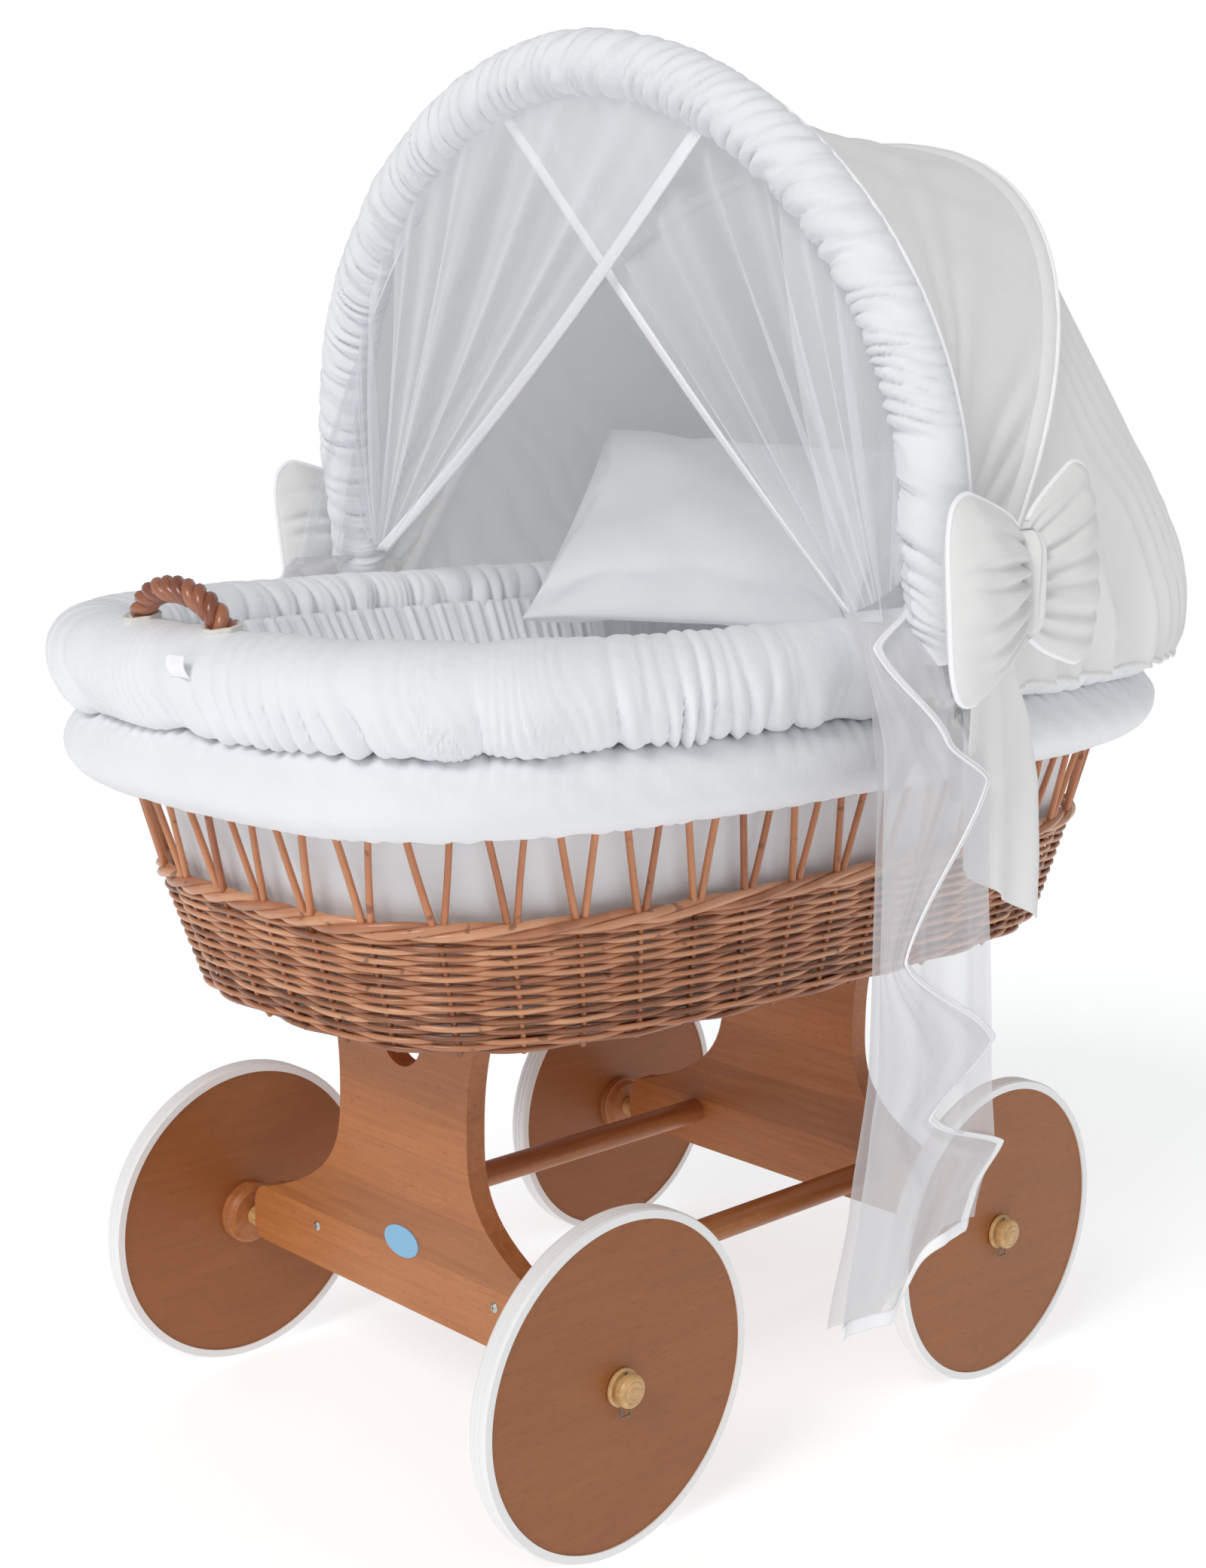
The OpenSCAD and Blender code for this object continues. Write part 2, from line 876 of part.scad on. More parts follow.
// Fabric between the padded hoop and the rib, sagging a little
module hood_front_panel() {
    steps = 6;
    back = pad_r + 3;
    ahead = rib_r + 3;
    front = hoop_arch(92);
    rear = rib_arch(92);
    count = len(front) - 1;
    color(cotton)
        sheet([
            for (i = [0 : count])
                let (
                    p = in_plane(front[i][0], front[i][1], back, hoop_tilt),
                    q = in_plane(rear[i][0], rear[i][1], -ahead, rib_tilt)
                )
                [
                    for (j = [0 : steps])
                        blend(p, q, j / steps) - 10 * sin(180 * j / steps) * unit(p - [120, 0, pivot_z])
                ]
        ], sheet_t, [120, 0, pivot_z]);
}

// Fabric from the rib down to the hem round the head end
module hood_rear_panel() {
    steps = 10;
    rear = rib_arch(92);
    count = len(rear) - 1;
    hem_z = 676;
    color(cotton)
        sheet([
            for (i = [0 : count])
                let (
                    t = -90 + 180 * i / count,
                    o = oval(t, 556, 338),
                    p = in_plane(rear[i][0], rear[i][1], rib_r + 5, rib_tilt),
                    hem = [basket_x + o.x, o.y, hem_z],
                    out = [cos(t), 0.12 * sin(t), 0]
                )
                [
                    for (j = [0 : steps])
                        bezier(
                            p,
                            blend(p, hem, 0.4) + out * 35,
                            hem + out * 95 + [0, 0, 20 + 90 * cos(t)],
                            hem,
                            j / steps
                        )
                ]
        ], sheet_t, [120, 0, pivot_z]);
}

// ---------- veil and bows ----------

// Gathered curtain from the top of the front hoop to one bow
module curtain(side, depth) {
    steps = 8;
    inset = pad_r + 4;
    path = hoop_arch(100);
    last = len(path) - 1;
    reach = round(last * 0.57);
    gather_y = hoop_b - inset - 4;
    color(voile)
        skin([
            for (j = [0 : steps])
                let (
                    row = [
                        for (i = [1 : reach])
                            let (
                                o = outward(path, i),
                                top = [path[i][0] - inset * o[0], path[i][1] - inset * o[1]],
                                u = i / reach,
                                low = [-gather_y + 26 * u, 108 - 20 * u - 3 * sin(180 * u)],
                                p = blend(top, low, j / steps)
                            )
                            [side * -p[0], p[1]]
                    ]
                )
                concat(
                    [for (p = row) in_plane(p[0], p[1], side * (depth + veil_t), hoop_tilt)],
                    [
                        for (i = [len(row) - 1 : -1 : 0])
                            in_plane(row[i][0], row[i][1], side * depth, hoop_tilt)
                    ]
                )
        ], strip = true);
}

module near_curtain() {
    curtain(-1, 4);
}

module far_curtain() {
    curtain(1, 4);
}

// Falling end of the veil outside the basket, as rows [height, x of its two edges, distance out]
module veil_tail(side) {
    rows = [
        [748, -108, -54, 352], [715, -112, -50, 366], [684, -112, -20, 384], [625, -113, 28, 388],
        [500, -113, 22, 390], [400, -114, 44, 390], [300, -126, 60, 390], [215, -146, 5, 392],
        [182, -150, -80, 394]
    ];
    top = rows[0][0];
    // The far veil is shorter, so that it ends behind the basket
    length = side > 0 ? 0.5 : 1;
    folds = 10;
    color(voile)
        mirror([0, side > 0 ? 1 : 0, 0])
            skin([
                for (row = rows)
                    let (
                        line = [
                            for (i = [0 : folds])
                                let (x = blend(row[1], row[2], i / folds))
                                [x, -row[3] - 4 * sin(720 * i / folds), top + length * (row[0] - top)]
                        ]
                    )
                    concat(line, [for (i = [folds : -1 : 0]) line[i] - [0, veil_t, 0]])
            ], strip = true);
}

// Puffy two-lobed bow with its narrow upright knot, its centre at the origin, facing local +Z
module bow() {
    lobe_w = 98;
    lobe_h = 80;
    knot_half = 44;
    for (side = [-1, 1])
        rotate([0, 0, side > 0 ? 0 : 180])
            skin([
                for (i = [0 : 6])
                    let (
                        u = i / 6,
                        h = knot_half - 4 + (lobe_h - knot_half + 4) * pow(u, 0.6),
                        t = i == 6 ? 3 : 10 + 7 * sin(180 * min(1, u * 0.9)),
                        x = 5 + (lobe_w - 5) * u
                    )
                    [for (q = [0 : 30 : 330]) [x, h * cos(q), t * sin(q)]]
            ]);
    rotate([90, 0, 0])
        translate([0, 0, -knot_half])
            linear_extrude(2 * knot_half)
                scale([9, 19])
                    circle(r = 1, $fn = 32);
}

module place_bow(side) {
    yaw = 4;
    lift = -8;
    mirror([0, side > 0 ? 1 : 0, 0])
        translate([24, -hoop_b - 47, 776])
            rotate([90, lift, yaw])
                children();
}

module near_bow() {
    color(cotton)
        place_bow(-1)
            bow();
}

module far_bow() {
    color(cotton)
        place_bow(1)
            bow();
}

// Flat ribbon end under a bow, as rows [height, middle x, half width, drop of its far edge]
module bow_tail(side) {
    rows = [
        [748, 34, 13, 2], [705, 44, 26, 4], [660, 54, 40, 6],
        [615, 60, 50, 8], [572, 64, 54, 30], [548, 66, 54, 60]
    ];
    steps = 6;
    color(cotton)
        mirror([0, side > 0 ? 1 : 0, 0])
            skin([
                for (row = rows)
                    let (
                        line = [
                            for (i = [0 : steps])
                                [
                                    row[1] + row[2] * (2 * i / steps - 1),
                                    -hoop_b - 14 - 2.5 * sin(300 * i / steps + 20),
                                    row[0] - row[3] * i / steps
                                ]
                        ]
                    )
                    concat(line, [for (i = [steps : -1 : 0]) line[i] - [0, sheet_t, 0]])
            ], strip = true);
}

// Shift from the wheel-centred frame to the part's own frame
module from_middle() {
    translate([-middle_x, 0, 0])
        children();
}

from_middle() foot_board();
from_middle() head_board();
from_middle() stretcher(-1);  // near_stretcher
from_middle() stretcher(1);  // far_stretcher
from_middle() stretcher_screws();
from_middle() axles();
from_middle() axle_spacers();
from_middle() axle_caps();
from_middle() axle_clips();
from_middle() badge_plate();
from_middle() at_wheel(-1, -1) wheel_disc();  // foot_near_disc
from_middle() at_wheel(-1, -1) wheel_tyre();  // foot_near_tyre
from_middle() at_wheel(-1, -1) wheel_hub();  // foot_near_hub
from_middle() at_wheel(-1, 1) wheel_disc();  // foot_far_disc
from_middle() at_wheel(-1, 1) wheel_tyre();  // foot_far_tyre
from_middle() at_wheel(-1, 1) wheel_hub();  // foot_far_hub
from_middle() at_wheel(1, -1) wheel_disc();  // head_near_disc
from_middle() at_wheel(1, -1) wheel_tyre();  // head_near_tyre
from_middle() at_wheel(1, -1) wheel_hub();  // head_near_hub
from_middle() at_wheel(1, 1) wheel_disc();  // head_far_disc
from_middle() at_wheel(1, 1) wheel_tyre();  // head_far_tyre
from_middle() at_wheel(1, 1) wheel_hub();  // head_far_hub
from_middle() basket_base();
from_middle() basket_weave();
from_middle() basket_border();
from_middle() basket_stakes();
from_middle() basket_rim();
from_middle() basket_screws();
from_middle() rope_handle(-1);  // foot_handle
from_middle() rope_handle(1);  // head_handle
from_middle() bumper_roll();
from_middle() nest_roll();
from_middle() nest_liner();
from_middle() mattress();
from_middle() duvet();
from_middle() pillow();
from_middle() fabric_tag();
from_middle() hood_brackets();
from_middle() hood_bolts();
from_middle() hood_washers();
from_middle() hood_sleeves();
from_middle() front_hoop();
from_middle() front_hoop_lugs();
from_middle() front_hoop_padding();
from_middle() rear_rib();
from_middle() rear_rib_lugs();
from_middle() hood_front_panel();
from_middle() hood_rear_panel();
from_middle() near_curtain();
from_middle() far_curtain();
from_middle() veil_tail(-1);  // near_veil_tail
from_middle() veil_tail(1);  // far_veil_tail
from_middle() near_bow();
from_middle() far_bow();
from_middle() bow_tail(-1);  // near_bow_tail
from_middle() bow_tail(1);  // far_bow_tail
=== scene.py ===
"""Looks of the wheeled wicker baby cradle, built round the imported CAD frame.

Lengths are in millimetres until a mesh is made.
"""
import math

import bpy
import numpy as np
from mathutils import Matrix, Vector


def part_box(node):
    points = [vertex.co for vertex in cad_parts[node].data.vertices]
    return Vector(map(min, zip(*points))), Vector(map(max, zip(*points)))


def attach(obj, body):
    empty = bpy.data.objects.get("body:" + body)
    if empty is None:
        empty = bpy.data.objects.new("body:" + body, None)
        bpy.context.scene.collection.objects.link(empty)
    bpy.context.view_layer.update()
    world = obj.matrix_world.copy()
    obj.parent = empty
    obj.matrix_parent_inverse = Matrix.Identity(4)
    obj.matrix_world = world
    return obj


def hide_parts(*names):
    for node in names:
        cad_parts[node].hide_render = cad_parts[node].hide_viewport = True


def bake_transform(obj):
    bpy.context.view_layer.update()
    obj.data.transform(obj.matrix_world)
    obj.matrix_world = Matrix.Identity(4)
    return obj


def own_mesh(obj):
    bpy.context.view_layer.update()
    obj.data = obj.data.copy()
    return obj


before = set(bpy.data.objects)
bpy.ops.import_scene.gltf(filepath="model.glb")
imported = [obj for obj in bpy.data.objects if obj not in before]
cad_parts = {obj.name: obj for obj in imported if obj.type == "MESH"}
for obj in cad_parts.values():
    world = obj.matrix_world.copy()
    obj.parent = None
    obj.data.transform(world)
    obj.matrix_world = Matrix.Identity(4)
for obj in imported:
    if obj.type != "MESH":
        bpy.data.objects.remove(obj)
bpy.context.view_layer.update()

MM = 0.001
UP = np.array([0.0, 0.0, 1.0])


# ---------- driving dimensions ----------

# The pieces are drawn about the point midway between the wheels, whose x in the shared frame is WHEELS_X
WHEELS_X = (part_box("foot_board")[0][0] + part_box("head_board")[1][0]) / 2 / MM


def box_mm(node):
    low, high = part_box(node)
    return np.array(low) / MM - [WHEELS_X, 0, 0], np.array(high) / MM - [WHEELS_X, 0, 0]


def ring_of(node):
    """Height, half length and half width of a round ring's centreline, and its radius"""
    low, high = box_mm(node)
    r = (high[2] - low[2]) / 2
    return (low[2] + high[2]) / 2, (high[0] - low[0]) / 2 - r, (high[1] - low[1]) / 2 - r, r


# The basket's plan is a rounded oval with this power; the weave's warps and the pairs of stakes share a count
OVAL_N = 3.4
STAKE_PAIRS = 44
BASKET_X = sum(v[0] for v in box_mm("basket_rim")) / 2
RIM_Z, RIM_A, RIM_B, _ = ring_of("basket_rim")
BORDER_Z, BORDER_A, BORDER_B, _ = ring_of("basket_border")
NEST_Z, NEST_A, NEST_B, NEST_R = ring_of("nest_roll")
BUMPER_R = 35.0
WEAVE_LOW, WEAVE_TOP = box_mm("basket_weave")[0][2], box_mm("basket_weave")[1][2]
WEAVE_LOW_A, WEAVE_LOW_B = 425.0, 234.0

# Both hoops turn about one line; each has a half breadth, the height of its straight legs, a full height, and
# the power of its arch.
PIVOT_X, PIVOT_Z = -5.0, 667.0
HOOP_TILT, RIB_TILT = -7.9, 32.0
HOOP_B, HOOP_LEG, HOOP_H, HOOP_N = 362.0, 180.0, 522.0, 1.9
RIB_B, RIB_LEG, RIB_H, RIB_N = 351.2, 90.0, 556.0, 2.4
PAD_R = 26.0
VOILE_INSET = 22.0

PILLOW_W, PILLOW_H, PILLOW_T = 350.0, 300.0, 84.0
BOW_X, BOW_Y, BOW_Z = 24.0, HOOP_B + 47.0, 776.0
BOW_YAW, BOW_LIFT = 4.0, -8.0
LOBE_W = 97.0
FAR_VEIL = 0.5
PILLOW_AT, PILLOW_YAW, PILLOW_TILT = (118.0, 34.0, 674.0), 25.0, -38.0
HEM_A, HEM_B, HEM_Z = 549.0, 336.0, 678.0
HANDLE_HALF, HANDLE_SHOULDER, HANDLE_TOP, HANDLE_LEAN = 54.0, 738.0, 768.0, 0.1763
CUFF_Z = 734.0
COOL_WHITE = (0.97, 0.985, 1.0)


# ---------- numbers: noise, folds, curves ----------

def noise1(u, waves, seed):
    """Smooth noise in about -1..1 that repeats over u = 0..1 and has roughly that many waves"""
    terms = 6
    rng = np.random.default_rng(seed)
    total = 0.0
    for _ in range(terms):
        f = max(1, round(waves * rng.uniform(0.5, 1.5)))
        total = total + rng.uniform(0.5, 1.0) * np.sin(2 * np.pi * (f * u + rng.uniform()))
    return total / (0.55 * terms)


def folds(u, count, seed, wander=0.35, sharp=1.0):
    """Irregular gathers along u, -1..1, with rounded ridges and narrow valleys when sharp is below 1"""
    phase = count * u + wander * count / 9 * noise1(u, 7, seed) / 2 + 0.25 * noise1(u, count / 3, seed + 1)
    size = 0.72 + 0.28 * noise1(u, count / 4, seed + 2)
    ridge = np.abs(np.cos(np.pi * phase)) ** sharp
    return (2 * ridge - 1) * size


def smooth(x):
    """Smooth step from 0 to 1 over x = 0..1"""
    x = np.clip(x, 0, 1)
    return x * x * (3 - 2 * x)


def unit(v):
    return v / np.linalg.norm(v, axis=-1, keepdims=True)


def xyz(x, y, z):
    """Points from three coordinates that broadcast against each other"""
    return np.stack(np.broadcast_arrays(x, y, z), -1)


def through(rows, keys, column):
    """Smooth value of one column of a table at the keys, rows being sorted by their first column"""
    table = np.array(rows, float)
    order = np.argsort(table[:, 0])
    x, y = table[order, 0], table[order, column]
    i = np.clip(np.searchsorted(x, keys) - 1, 0, len(x) - 2)
    share = (keys - x[i]) / (x[i + 1] - x[i])
    return y[i] + (y[i + 1] - y[i]) * (0.5 * share + 0.5 * smooth(share))


def ring_shares(count):
    """Shares 0..1 of a ring at evenly spaced places"""
    return np.arange(count) / count


def section_angles(count):
    """Angles in radians round a section, from -pi"""
    return np.radians(np.linspace(-180, 180, count, endpoint=False))


def run_length(path):
    """Distance from the first point to each point of a path"""
    return np.concatenate([[0], np.cumsum(np.linalg.norm(np.diff(path, axis=0), axis=1))])


def spaced(path, count):
    """The path as evenly spaced points, with their distances along it"""
    length = run_length(path)
    at = np.linspace(0, length[-1], count)
    return np.stack([np.interp(at, length, path[:, k]) for k in range(path.shape[1])], -1), at


def oval(t, a, b, n=OVAL_N):
    """Point of the basket's rounded plan at parameter t in degrees"""
    c, s = np.cos(np.radians(t)), np.sin(np.radians(t))
    k = (np.abs(c) ** n + np.abs(s) ** n) ** (-1 / n)
    return np.stack([BASKET_X + k * a * c, k * b * s], -1)


def along(share):
    """Parameter at a share 0..1 of the rim's length"""
    fine = np.linspace(0, 360, 4001)
    length = run_length(oval(fine, RIM_A, RIM_B))
    return np.interp(np.mod(share, 1) * length[-1], length, fine)


def even_t(count):
    """Parameters that are evenly spaced along the rim"""
    return along(np.arange(count) / count)


def ring_points(t, z, a, b):
    """Points on the oval, all arguments broadcast"""
    t, z, a, b = np.broadcast_arrays(t, z, a, b)
    p = oval(t, a, b)
    return np.concatenate([p, z[..., None]], -1)


def arch(b, leg, h, n, start, count, angle_end=180.0):
    """Arch as evenly spaced [y, s] points from the near leg over the top, with its outward directions"""
    q = np.radians(np.linspace(0, angle_end, 1200))
    c, s = np.cos(q), np.sin(q)
    top = np.stack([-b * np.sign(c) * np.abs(c) ** (2 / n), leg + (h - leg) * np.abs(s) ** (2 / n)], -1)
    near = np.stack([np.full(60, -b), np.linspace(start, leg, 60, endpoint=False)], -1)
    parts = [near, top]
    if angle_end >= 180:
        parts.append(near[::-1] * [-1, 1])
    even, at = spaced(np.concatenate(parts), count)
    d = unit(np.gradient(even, axis=0))
    return even, np.stack([-d[:, 1], d[:, 0]], -1), at[-1]


def in_plane(y, s, v, tilt):
    """Point of a hoop's plane: y across, s from the pivot, v behind the plane"""
    a, c = math.sin(math.radians(tilt)), math.cos(math.radians(tilt))
    s, v = np.asarray(s), np.asarray(v)
    return xyz(PIVOT_X + s * a + v * c, y, PIVOT_Z + s * c - v * a)


def plane_normal(tilt):
    return in_plane(0, 0, 1, tilt) - in_plane(0, 0, 0, tilt)


# ---------- meshes ----------

def grid(points, close_u=False, close_v=False, caps=False):
    """Vertices, faces and per-corner UVs in metres over an array of points"""
    nu, nv = points.shape[:2]
    i, j = np.meshgrid(
        np.arange(nu if close_u else nu - 1), np.arange(nv if close_v else nv - 1), indexing="ij"
    )
    a, b = i * nv + j, (i + 1) % nu * nv + j
    c, d = (i + 1) % nu * nv + (j + 1) % nv, i * nv + (j + 1) % nv
    faces = np.stack([a, b, c, d], -1).reshape(-1, 4)
    run_u = np.linalg.norm(np.diff(np.concatenate([points, points[:1]]), axis=0), axis=2).mean(1)
    run_v = np.linalg.norm(np.diff(np.concatenate([points, points[:, :1]], 1), axis=1), axis=2).mean(0)
    lu, lv = np.concatenate([[0], np.cumsum(run_u)]) * MM, np.concatenate([[0], np.cumsum(run_v)]) * MM
    uv = np.stack([
        np.stack([lu[i], lv[j]], -1), np.stack([lu[i + 1], lv[j]], -1),
        np.stack([lu[i + 1], lv[j + 1]], -1), np.stack([lu[i], lv[j + 1]], -1)
    ], 2).reshape(-1, 2)
    faces = faces.tolist()
    if caps:
        first, last = list(range(nv))[::-1], [(nu - 1) * nv + k for k in range(nv)]
        faces += [first, last]
        uv = np.concatenate([uv, np.zeros((2 * nv, 2))])
    return points.reshape(-1, 3), faces, uv


def make(name, parts, material, body=None, stands_for=(), tones=None, origin=(WHEELS_X, 0, 0)):
    """Smooth-shaded object from grids of points in millimetres; each part may carry its own tone.

    stands_for lists the CAD nodes that the piece replaces, and these are hidden.
    """
    verts, faces, uvs, tone, base = [], [], [], [], 0
    for k, (v, f, uv) in enumerate(parts):
        verts.append(v)
        faces += [[q + base for q in face] for face in f]
        uvs.append(uv)
        tone.append(np.full(len(v), 0.5 if tones is None else tones[k]))
        base += len(v)
    mesh = bpy.data.meshes.new(name)
    mesh.from_pydata(((np.concatenate(verts) + origin) * MM).tolist(), [], faces)
    layer = mesh.uv_layers.new(name="UVMap")
    layer.data.foreach_set("uv", np.concatenate(uvs).astype(np.float32).ravel())
    mesh.attributes.new("tone", "FLOAT", "POINT").data.foreach_set(
        "value", np.concatenate(tone).astype(np.float32)
    )
    mesh.polygons.foreach_set("use_smooth", [True] * len(mesh.polygons))
    mesh.materials.append(material)
    mesh.update()
    made = bpy.data.objects.new(name, mesh)
    bpy.context.scene.collection.objects.link(made)
    if body:
        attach(made, body)
    if stands_for:
        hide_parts(*stands_for)
    return made


def rod(path, radius, ref, sides=8, closed=False, squash=1.0):
    """Grid of a round rod along a path; ref is a direction never parallel to the path"""
    if closed:
        d = np.roll(path, -1, 0) - np.roll(path, 1, 0)
    else:
        d = np.gradient(path, axis=0)
    d = unit(d)
    ref = np.broadcast_to(ref, path.shape)
    n = unit(ref - (ref * d).sum(1, keepdims=True) * d)
    b = np.cross(d, n)
    q = 2 * np.pi * np.arange(sides) / sides
    r = np.broadcast_to(radius, (len(path),))[:, None, None]
    points = path[:, None] + r * (
        np.cos(q)[None, :, None] * n[:, None] * squash + np.sin(q)[None, :, None] * b[:, None]
    )
    return grid(points, close_u=closed, close_v=True, caps=not closed)


def cap_ends(part, count, rows, first_up):
    """Closes the open first and last rows of a ring-shaped grid of count by rows points"""
    v, f, uv = part
    first, last = ([i * rows + k for i in range(count)] for k in (0, rows - 1))
    ends = [first, last[::-1]] if first_up else [first[::-1], last]
    return v, f + ends, np.concatenate([uv, np.zeros((2 * count, 2))])


def thicken(piece, thickness):
    """Gives a sheet its thickness, half to each side"""
    solid = piece.modifiers.new("cloth thickness", "SOLIDIFY")
    solid.thickness = thickness * MM
    solid.offset = 0.0
    return piece


def follow(piece):
    """Bakes a fabric piece's placement into its mesh; it does not follow the hoop's fold"""
    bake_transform(piece)
    return piece


# ---------- materials ----------

class Shader:
    """One node material, with short helpers for its nodes"""

    def __init__(self, name):
        self.material = bpy.data.materials.new(name)
        self.material.use_nodes = True
        self.tree = self.material.node_tree
        self.bsdf = self.tree.nodes["Principled BSDF"]
        coords = self.tree.nodes.new("ShaderNodeTexCoord")
        self.object, self.uv = coords.outputs["Object"], coords.outputs["UV"]

    def put(self, socket, value):
        if isinstance(value, bpy.types.NodeSocket):
            self.tree.links.new(value, socket)
        elif socket.type == "RGBA" and len(value) == 3:
            socket.default_value = (*value, 1)
        else:
            socket.default_value = value

    def node(self, kind, inputs, output=0, **props):
        made = self.tree.nodes.new("ShaderNode" + kind)
        for key, value in props.items():
            setattr(made, key, value)
        for key, value in inputs.items():
            self.put(made.inputs[key], value)
        return made.outputs[output]

    def stretch(self, vector, scale):
        return self.node("Mapping", {"Vector": vector, "Scale": scale})

    def noise(self, vector, scale=1.0, detail=3.0, distortion=0.0):
        return self.node("TexNoise", {
            "Vector": vector, "Scale": scale, "Detail": detail, "Distortion": distortion
        })

    def math(self, operation, a, b=0.0, c=0.0):
        return self.node("Math", {0: a, 1: b, 2: c}, operation=operation)

    def mix(self, factor, a, b, kind="MIX"):
        return self.node("Mix", {0: factor, 6: a, 7: b}, output=2, data_type="RGBA", blend_type=kind)

    def ramp(self, factor, *stops):
        made = self.tree.nodes.new("ShaderNodeValToRGB")
        elements = made.color_ramp.elements
        while len(elements) < len(stops):
            elements.new(0.5)
        for element, (place, value) in zip(elements, stops):
            element.position = place
            element.color = (value, value, value, 1) if isinstance(value, float) else (*value, 1)
        self.put(made.inputs[0], factor)
        return made.outputs[0]

    def tone(self):
        return self.node("Attribute", {}, output="Fac", attribute_name="tone")

    def bump(self, height, strength, distance, normal=None):
        inputs = {"Height": height, "Strength": strength, "Distance": distance * MM}
        if normal is not None:
            inputs["Normal"] = normal
        return self.node("Bump", inputs)

    def done(self, **values):
        for key, value in values.items():
            self.put(self.bsdf.inputs[key.replace("_", " ")], value)
        return self.material


def shade(colour, factor):
    return tuple(c * factor for c in colour)


def wood(name, dark, middle, light, along, layer=0.0, figure=0.0, rough=0.42):
    """Stained wood with streaks and short dark flecks along one axis, and optional glued layers by height"""
    s = Shader(name)
    streak, fleck, broad = [170, 170, 170], [700, 700, 700], [9, 9, 9]
    streak[along], fleck[along], broad[along] = 9, 110, 2
    grain = s.noise(s.stretch(s.object, streak), 1, 4, 0.3)
    wide = s.noise(s.stretch(s.object, broad), 1, 3, 0.8)
    amount = s.math("MULTIPLY_ADD", grain, 0.55, s.math("MULTIPLY", wide, 0.45))
    colour = s.ramp(amount, (0.32, dark), (0.5, middle), (0.7, light))
    if figure:
        waves = s.math("SINE", s.math("MULTIPLY", wide, 55.0))
        pattern = s.mix(s.math("MULTIPLY_ADD", waves, 0.5, 0.5), shade((1, 1, 1), 1 - figure), (1, 1, 1))
        colour = s.mix(1.0, colour, pattern, "MULTIPLY")
    if layer:
        layers = s.math("DIVIDE", s.node("SeparateXYZ", {0: s.object}, output=2), layer * MM)
        number = s.math("FLOOR", layers)
        random = s.node("TexWhiteNoise", {"W": number}, output="Value", noise_dimensions="1D")
        level = s.math("MULTIPLY_ADD", random, 0.26, 0.86)
        edge = s.math("ABSOLUTE", s.math("SUBTRACT", s.math("FRACT", layers), 0.5))
        joint = s.ramp(edge, (0.485, 1.0), (0.5, 0.82))
        colour = s.mix(1.0, colour, s.node("CombineXYZ", {0: level, 1: level, 2: level}), "MULTIPLY")
        colour = s.mix(1.0, colour, joint, "MULTIPLY")
    flecks = s.ramp(s.noise(s.stretch(s.object, fleck), 1, 1), (0.62, 0.0), (0.72, 1.0))
    colour = s.mix(s.math("MULTIPLY", flecks, 0.45), colour, shade(dark, 0.6))
    return s.done(
        Base_Color=colour,
        Roughness=s.math("MULTIPLY_ADD", grain, 0.2, rough - 0.1),
        Coat_Weight=0.06,
        Coat_Roughness=0.3,
        Normal=s.bump(s.math("SUBTRACT", grain, flecks), 0.25, 0.25),
    )


def willow_shader(name, dark, middle, light, coat=0.45):
    """Lacquered willow: each rod has its own tone, streaks along it and a few darker knots"""
    s = Shader(name)
    streak = s.noise(s.stretch(s.uv, (14, 500, 1)), 1, 3)
    patch = s.noise(s.object, 38, 2)
    within = s.math("MULTIPLY_ADD", patch, 0.35, s.math("MULTIPLY", streak, 0.3))
    amount = s.math("MULTIPLY_ADD", s.tone(), 0.5, within)
    colour = s.ramp(amount, (0.35, dark), (0.58, middle), (0.85, light))
    knots = s.ramp(s.noise(s.object, 95, 0), (0.74, 0.0), (0.79, 1.0))
    colour = s.mix(s.math("MULTIPLY", knots, 0.6), colour, shade(dark, 0.4))
    return s.done(
        Base_Color=colour,
        Roughness=s.math("MULTIPLY_ADD", streak, 0.25, 0.3),
        Coat_Weight=coat,
        Coat_Roughness=0.18,
        Normal=s.bump(s.math("ADD", streak, knots), 0.3, 0.2),
    )


def cloth(name, colour, weave=0.55, crease=0.6, sheen=0.25, painted_glow=0.0):
    """Plain-woven cotton with a thread pitch in millimetres: crossed threads and soft creases in the bump.

    The painted glow is an emission that stands for light shining through the cloth and lifting its shaded
    parts.
    """
    s = Shader(name)
    threads = 2 * math.pi / (weave * MM)
    across, along = (s.node("SeparateXYZ", {0: s.uv}, output=k) for k in (0, 1))
    warp, weft = (s.math("SINE", s.math("MULTIPLY", place, threads)) for place in (across, along))
    crossed = s.math("MULTIPLY", warp, weft)
    soft = s.noise(s.object, 55, 4, 0.4)
    slub = s.noise(s.stretch(s.uv, (900, 60, 1)), 1, 2)
    fine = s.bump(s.math("MULTIPLY_ADD", slub, 0.4, crossed), 0.18, 0.12)
    return s.done(
        Base_Color=s.mix(s.noise(s.object, 21, 3), shade(colour, 0.93), colour),
        Roughness=0.88,
        Sheen_Weight=sheen,
        Sheen_Roughness=0.5,
        Specular_IOR_Level=0.2,
        Emission_Color=COOL_WHITE,
        Emission_Strength=painted_glow,
        Normal=s.bump(soft, crease, 1.6, fine),
    )


def sheer(name, colour, clear, solid, across=(1, 0), painted_glow=0.0):
    """Sheer voile: more opaque where it is seen edge on, with soft streaks along its folds"""
    s = Shader(name)
    facing = s.node("LayerWeight", {"Blend": 0.35}, output="Facing")
    streak = s.noise(s.stretch(s.uv, (1.5 + 32 * across[0], 1.5 + 32 * across[1], 1)), 1, 1)
    alpha = s.math("MULTIPLY_ADD", facing, solid - clear, clear)
    alpha = s.math("ADD", alpha, s.math("MULTIPLY_ADD", streak, 0.22, -0.11))
    return s.done(
        Base_Color=s.mix(streak, shade(colour, 0.95), colour),
        # painted glow: emission that stands for light shining through the voile and lifting its shaded parts
        Emission_Color=COOL_WHITE,
        Emission_Strength=painted_glow,
        Roughness=0.7,
        Sheen_Weight=0.3,
        Specular_IOR_Level=0.2,
        Alpha=alpha,
    )


